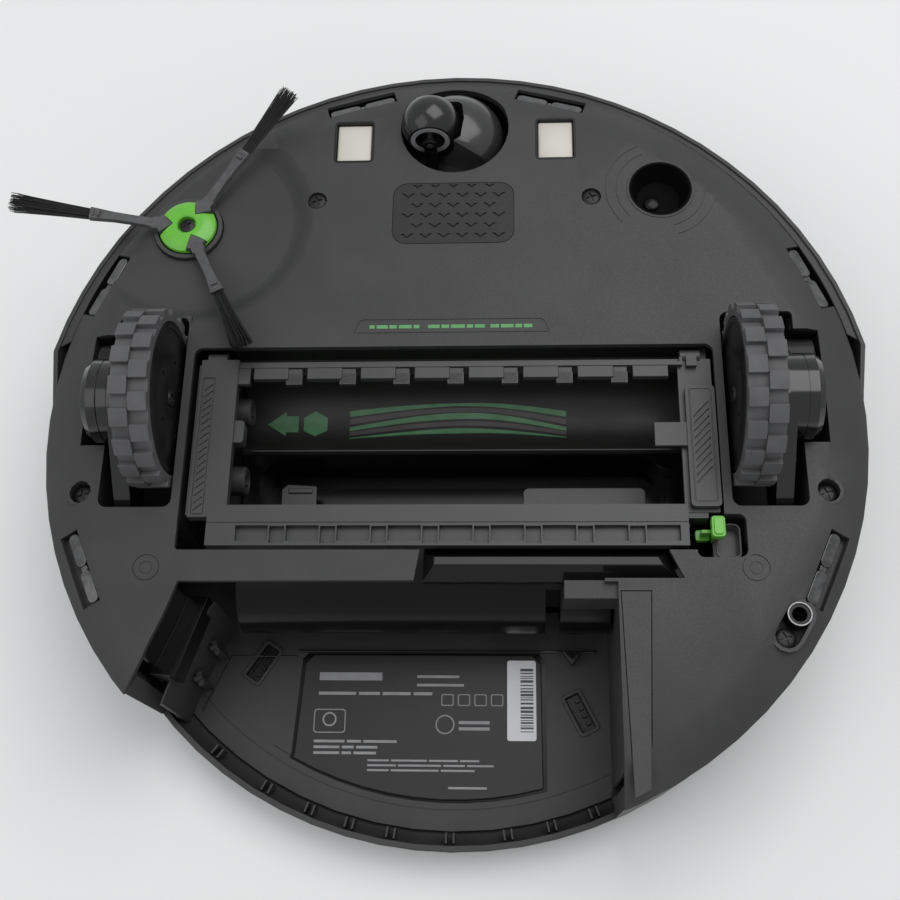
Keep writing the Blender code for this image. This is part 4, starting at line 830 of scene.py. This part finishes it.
# ---------------------------------------------------------------- bin bay
def build_bin_bay():
    # The left bin-bay wall takes the near-black gloss while the right wall keeps the deck plastic: painted
    # shade on the left wall.
    show(carried("bin_bay_wall_left"), "body", "deck", "bin_bay_wall_left", look=BLACK_AND_PAINTED_SHADE, bevel=0.35)
    plain("bin_bay_wall_right", "body", "deck", bevel=0.35)
    inner = [(-95.0, -71.6), (-99.6, -79.0), (-104.0, -88.0), (-108.0, -98.0), (-111.2, -108.0), (-112.6,
            -113.0)]
    outer = [(x - 1.1, y - 0.5) for x, y in inner[::-1]]
    guide = Form().prism(inner + outer, 7.0, 52.0)
    for x, y, turn in ((-101.5, -86.0, 24), (-107.0, -99.0, 20)):
        guide.block((0, -0.8, 8), (3.4, 0.8, 30), at(x, y, 0, turn))
        guide.block((1.0, -3.0, 26), (3.4, 3.0, 28), at(x, y, 0, turn))
    show(("bay_guide_left", guide), "body", "deck", bevel=0.3)
    steps = Form()
    steps.block((-97.0, -84.6, 6.7), (-68.0, -84.0, 7.6))
    steps.block((-68.0, -82.6, 6.7), (60.0, -81.8, 9.0))
    steps.prism([(-97.0, -84.0), (-96.4, -84.6), (-107.4, -108.4), (-108.0, -107.9)], 6.7, 7.6)
    steps.prism([(46.0, -83.0), (50.0, -88.4), (54.0, -83.0), (52.4, -83.0), (50.0, -86.2), (47.6, -83.0)],
            6.7, 14.0)
    show(("bay_floor_steps", steps), "body", "deck", look=LOOKS["gloss"], bevel=0.25)
    plate = carried("label_plate")
    # A near-black sheet a little wider than the plate's foot, lying on the bay floor round it: a painted
    # contact shadow.
    shadow = [(v.co.x / MM, v.co.y / MM) for v in plate.data.vertices if v.co.z < 0.0075]
    middle = (sum(x for x, y in shadow) / len(shadow), sum(y for x, y in shadow) / len(shadow))
    shadow.sort(key=lambda spot: math.atan2(spot[1] - middle[1], spot[0] - middle[0]))
    shadow = [(x + 1.5 * (x - middle[0]) / 50.0, y + 1.5 * (y - middle[1]) / 28.0) for x, y in shadow]
    show(("label_painted_shadow", Form().prism(shadow, 6.84, 7.02)), "body", "deck", look=BLACK_AND_PAINTED_SHADE, bevel=0)
    show(plate, "body", "label", "label_plate", bevel=0.5, segments=3)
    bars = Form()

    def greek(x, y, lengths, height, gap):
        for length in lengths:
            bars.block((x, y, 8.25), (x + length, y + height, 8.36))
            x += length + gap

    greek(-58.0, -94.8, (27.0,), 3.4, 1.0)
    greek(-58.0, -101.0, (16.0, 9.0, 12.0, 8.0), 1.3, 1.2)
    greek(-59.0, -121.0, (13.0, 6.0, 14.0), 1.1, 1.0)
    greek(-59.0, -123.4, (11.0, 5.0, 9.0), 1.1, 1.0)
    greek(-59.0, -125.8, (11.0, 4.0, 9.5), 1.1, 1.0)
    greek(-36.0, -128.6, (9.0, 15.0, 12.0, 8.0), 0.8, 0.9)
    greek(-36.0, -130.6, (12.0, 18.0, 9.0, 11.0), 0.8, 0.9)
    greek(-36.0, -132.6, (9.0, 20.0, 14.0), 0.8, 0.9)
    greek(-16.0, -93.6, (18.0,), 1.1, 1.0)
    greek(-16.0, -97.2, (20.0,), 1.1, 1.0)
    greek(2.0, -113.0, (13.0,), 1.3, 1.0)
    greek(2.0, -115.6, (13.0,), 1.3, 1.0)
    greek(-2.0, -139.6, (16.0,), 0.9, 1.0)
    bars.band(rounded(-59.5, -117.0, -46.0, -107.0, 1.4), rounded(-59.1, -116.6, -46.4, -107.4, 1.1), 8.25,
            8.36)
    bars.band(arc(-52.8, -111.3, 3.0, 0, 360, 28)[:-1], arc(-52.8, -111.3, 2.3, 0, 360, 28)[:-1], 8.25, 8.36)
    bars.band(arc(-3.8, -113.2, 4.0, 0, 360, 28)[:-1], arc(-3.8, -113.2, 3.5, 0, 360, 28)[:-1], 8.25, 8.36)
    for index in range(4):
        x = -5.5 + 7.0 * index
        bars.band(rounded(x, -105.4, x + 5.2, -100.4, 0.7, 3), rounded(x + 0.4, -105.0, x + 4.8, -100.8,
                0.5, 3), 8.25, 8.36)
    show(("label_marks", bars), "body", "label", look=PRINT, bevel=0)
    sticker = Form().prism(rounded(22.4, -119.8, 34.6, -86.0, 1.0), 8.25, 8.42)
    show(("label_sticker", sticker), "body", "label", look=STICKER, bevel=0)
    code = Form()
    y = -89.5
    while y > -116.0:
        width = random.choice((0.35, 0.5, 0.8, 1.1))
        code.block((28.0, y - width, 8.38), (33.4, y, 8.48))
        y -= width + random.choice((0.45, 0.6, 0.9))
    show(("sticker_bars", code), "body", "label", look=LOOKS["frame"], bevel=0)

    for index, (x, y, turn) in enumerate(((-83.3, -87.2, -33.0), (53.1, -107.8, 27.0))):
        to = at(x, y, 0, turn)
        lip = Form().band(rounded(-4.7, -9.6, 4.7, 9.6, 1.8), rounded(-3.25, -8.1, 3.25, 8.1, 0.8), 6.4,
                7.8, to)
        show((f"socket_lip_{index}", lip), "body", "deck", bevel=0.3)
        pins = Form().block((-3.1, -7.9, 4.4), (3.1, 7.9, 5.0), to)
        for k in range(4):
            pins.block((0.4, -5.8 + 3.4 * k, 4.9), (2.4, -4.2 + 3.4 * k, 6.4), to)
        pins.block((-2.6, -7.2, 4.9), (-1.8, 7.2, 6.3), to)
        show((f"socket_pins_{index}", pins), "body", "deck", look=LOOKS["dark"], bevel=0.1)


RIB_ANGLES = (-136.5, -127.7, -118.4, -111.2, -105.0, -98.8, -90.2, -81.8, -75.4, -69.0)


def build_chassis():
    skin = carried("chassis")
    lines = Form()
    lines.sector(143.6, 144.1, 238, 246, 6.3, 9, IDENTITY, 6)
    lines.sector(147.6, 148.0, 222, 296, 6.5, 9, IDENTITY, 60)
    carve(skin, lines)
    show(skin, "body", "deck", "chassis", bevel=0.3)
    ribs = Form()
    for angle in RIB_ANGLES:
        for shift in (-0.55, 0.55):
            ribs.block((157.4, -0.4, 9.0), (161.6, 0.4, 17.2), at(0, 0, 0, angle + shift))
    show(("rim_ribs", ribs), "body", "deck", bevel=0.12)


def build_outer():
    show(carried("top_cover"), "body", "shell", "top_cover", bevel=0.4, smooth=32)
    flange = arc(0, -2.2, 173.2, 12, 168, 90) + arc(0, 0, 167.6, 167, 13, 90)
    bumper = fuse(carried("bumper"), Form().prism(flange, 67.8, 69.2))
    show(bumper, "bumper", "shell", "bumper", bevel=0.35, smooth=25)
    for word in ("left", "right"):
        plain(f"bumper_spring_{word}", "bumper", "steel", bevel=0.1)
        plain(f"wheel_well_{word}", "body", "deck", bevel=0.5)
    plain("clean_button", "clean_button", "gloss", bevel=0.2)
    for node, slot in (("battery", "cell"), ("main_board", "board"), ("blower_housing", "dark")):
        plain(node, "body", slot, bevel=0.3)
    plain("blower_impeller", "blower_impeller", "frame", bevel=0.15)


build_outer()
build_cover()
build_chevron_pad()
build_small_fittings()
build_cliff_windows()
for which, label in SIDES:
    build_wheel(which, label)
    build_suspension(which, label)
build_caster()
build_side_brush()
build_brush_bay()
build_brush_frame()
build_bin_bay()
build_chassis()


# ---------------------------------------------------------------- stage, light and camera
def build_stage():
    floor = Form().block((-3000, -3000, -6.0), (3000, 3000, -0.2)).object("floor")
    floor.data.materials.append(finish("floor_white", (0.80, 0.80, 0.80), (0.83, 0.83, 0.83), (0.7, 0.9),
            bump=0.0, cloud=2.0))
    world = bpy.data.worlds.new("studio")
    world.use_nodes = True
    world.node_tree.nodes["Background"].inputs["Color"].default_value = (0.97, 0.985, 1.0, 1.0)
    world.node_tree.nodes["Background"].inputs["Strength"].default_value = 0.55
    scene.world = world
    for name, place, aim, size, power in (("key", (0.45, 0.55, 1.5), (0, 0.05, 0.05), 1.3, 13.0),
                                          ("fill", (-0.9, -0.4, 1.3), (0, 0, 0.05), 1.2, 4.0)):
        light = bpy.data.lights.new(name, "AREA")
        light.shape = "SQUARE"
        light.size = size
        light.energy = power
        lamp = bpy.data.objects.new(name, light)
        lamp.location = place
        lamp.rotation_euler = (Vector(aim) - Vector(place)).to_track_quat("-Z", "Y").to_euler()
        scene.collection.objects.link(lamp)
    scene.view_settings.view_transform = "Standard"


def build_camera():
    """A camera over the rear edge, tipped steeply down and rolled a little."""
    down, roll, swing = math.radians(67.873), math.radians(-7.977), math.radians(-8.326)
    ahead = Vector((math.sin(swing) * math.cos(down), math.cos(swing) * math.cos(down), -math.sin(down)))
    right = Vector((math.cos(swing), -math.sin(swing), 0))
    above = right.cross(ahead)
    right, above = (right * math.cos(roll) + above * math.sin(roll),
            above * math.cos(roll) - right * math.sin(roll))
    data = bpy.data.cameras.new("camera")
    data.lens = 49.0
    data.sensor_width = 36.0
    data.clip_start = 0.01
    camera = bpy.data.objects.new("camera", data)
    turn = Matrix((right, above, -ahead)).transposed().to_4x4()
    camera.matrix_world = Matrix.Translation((0.02695, -0.19812, 0.52889)) @ turn
    scene.collection.objects.link(camera)
    scene.camera = camera


build_stage()
build_camera()
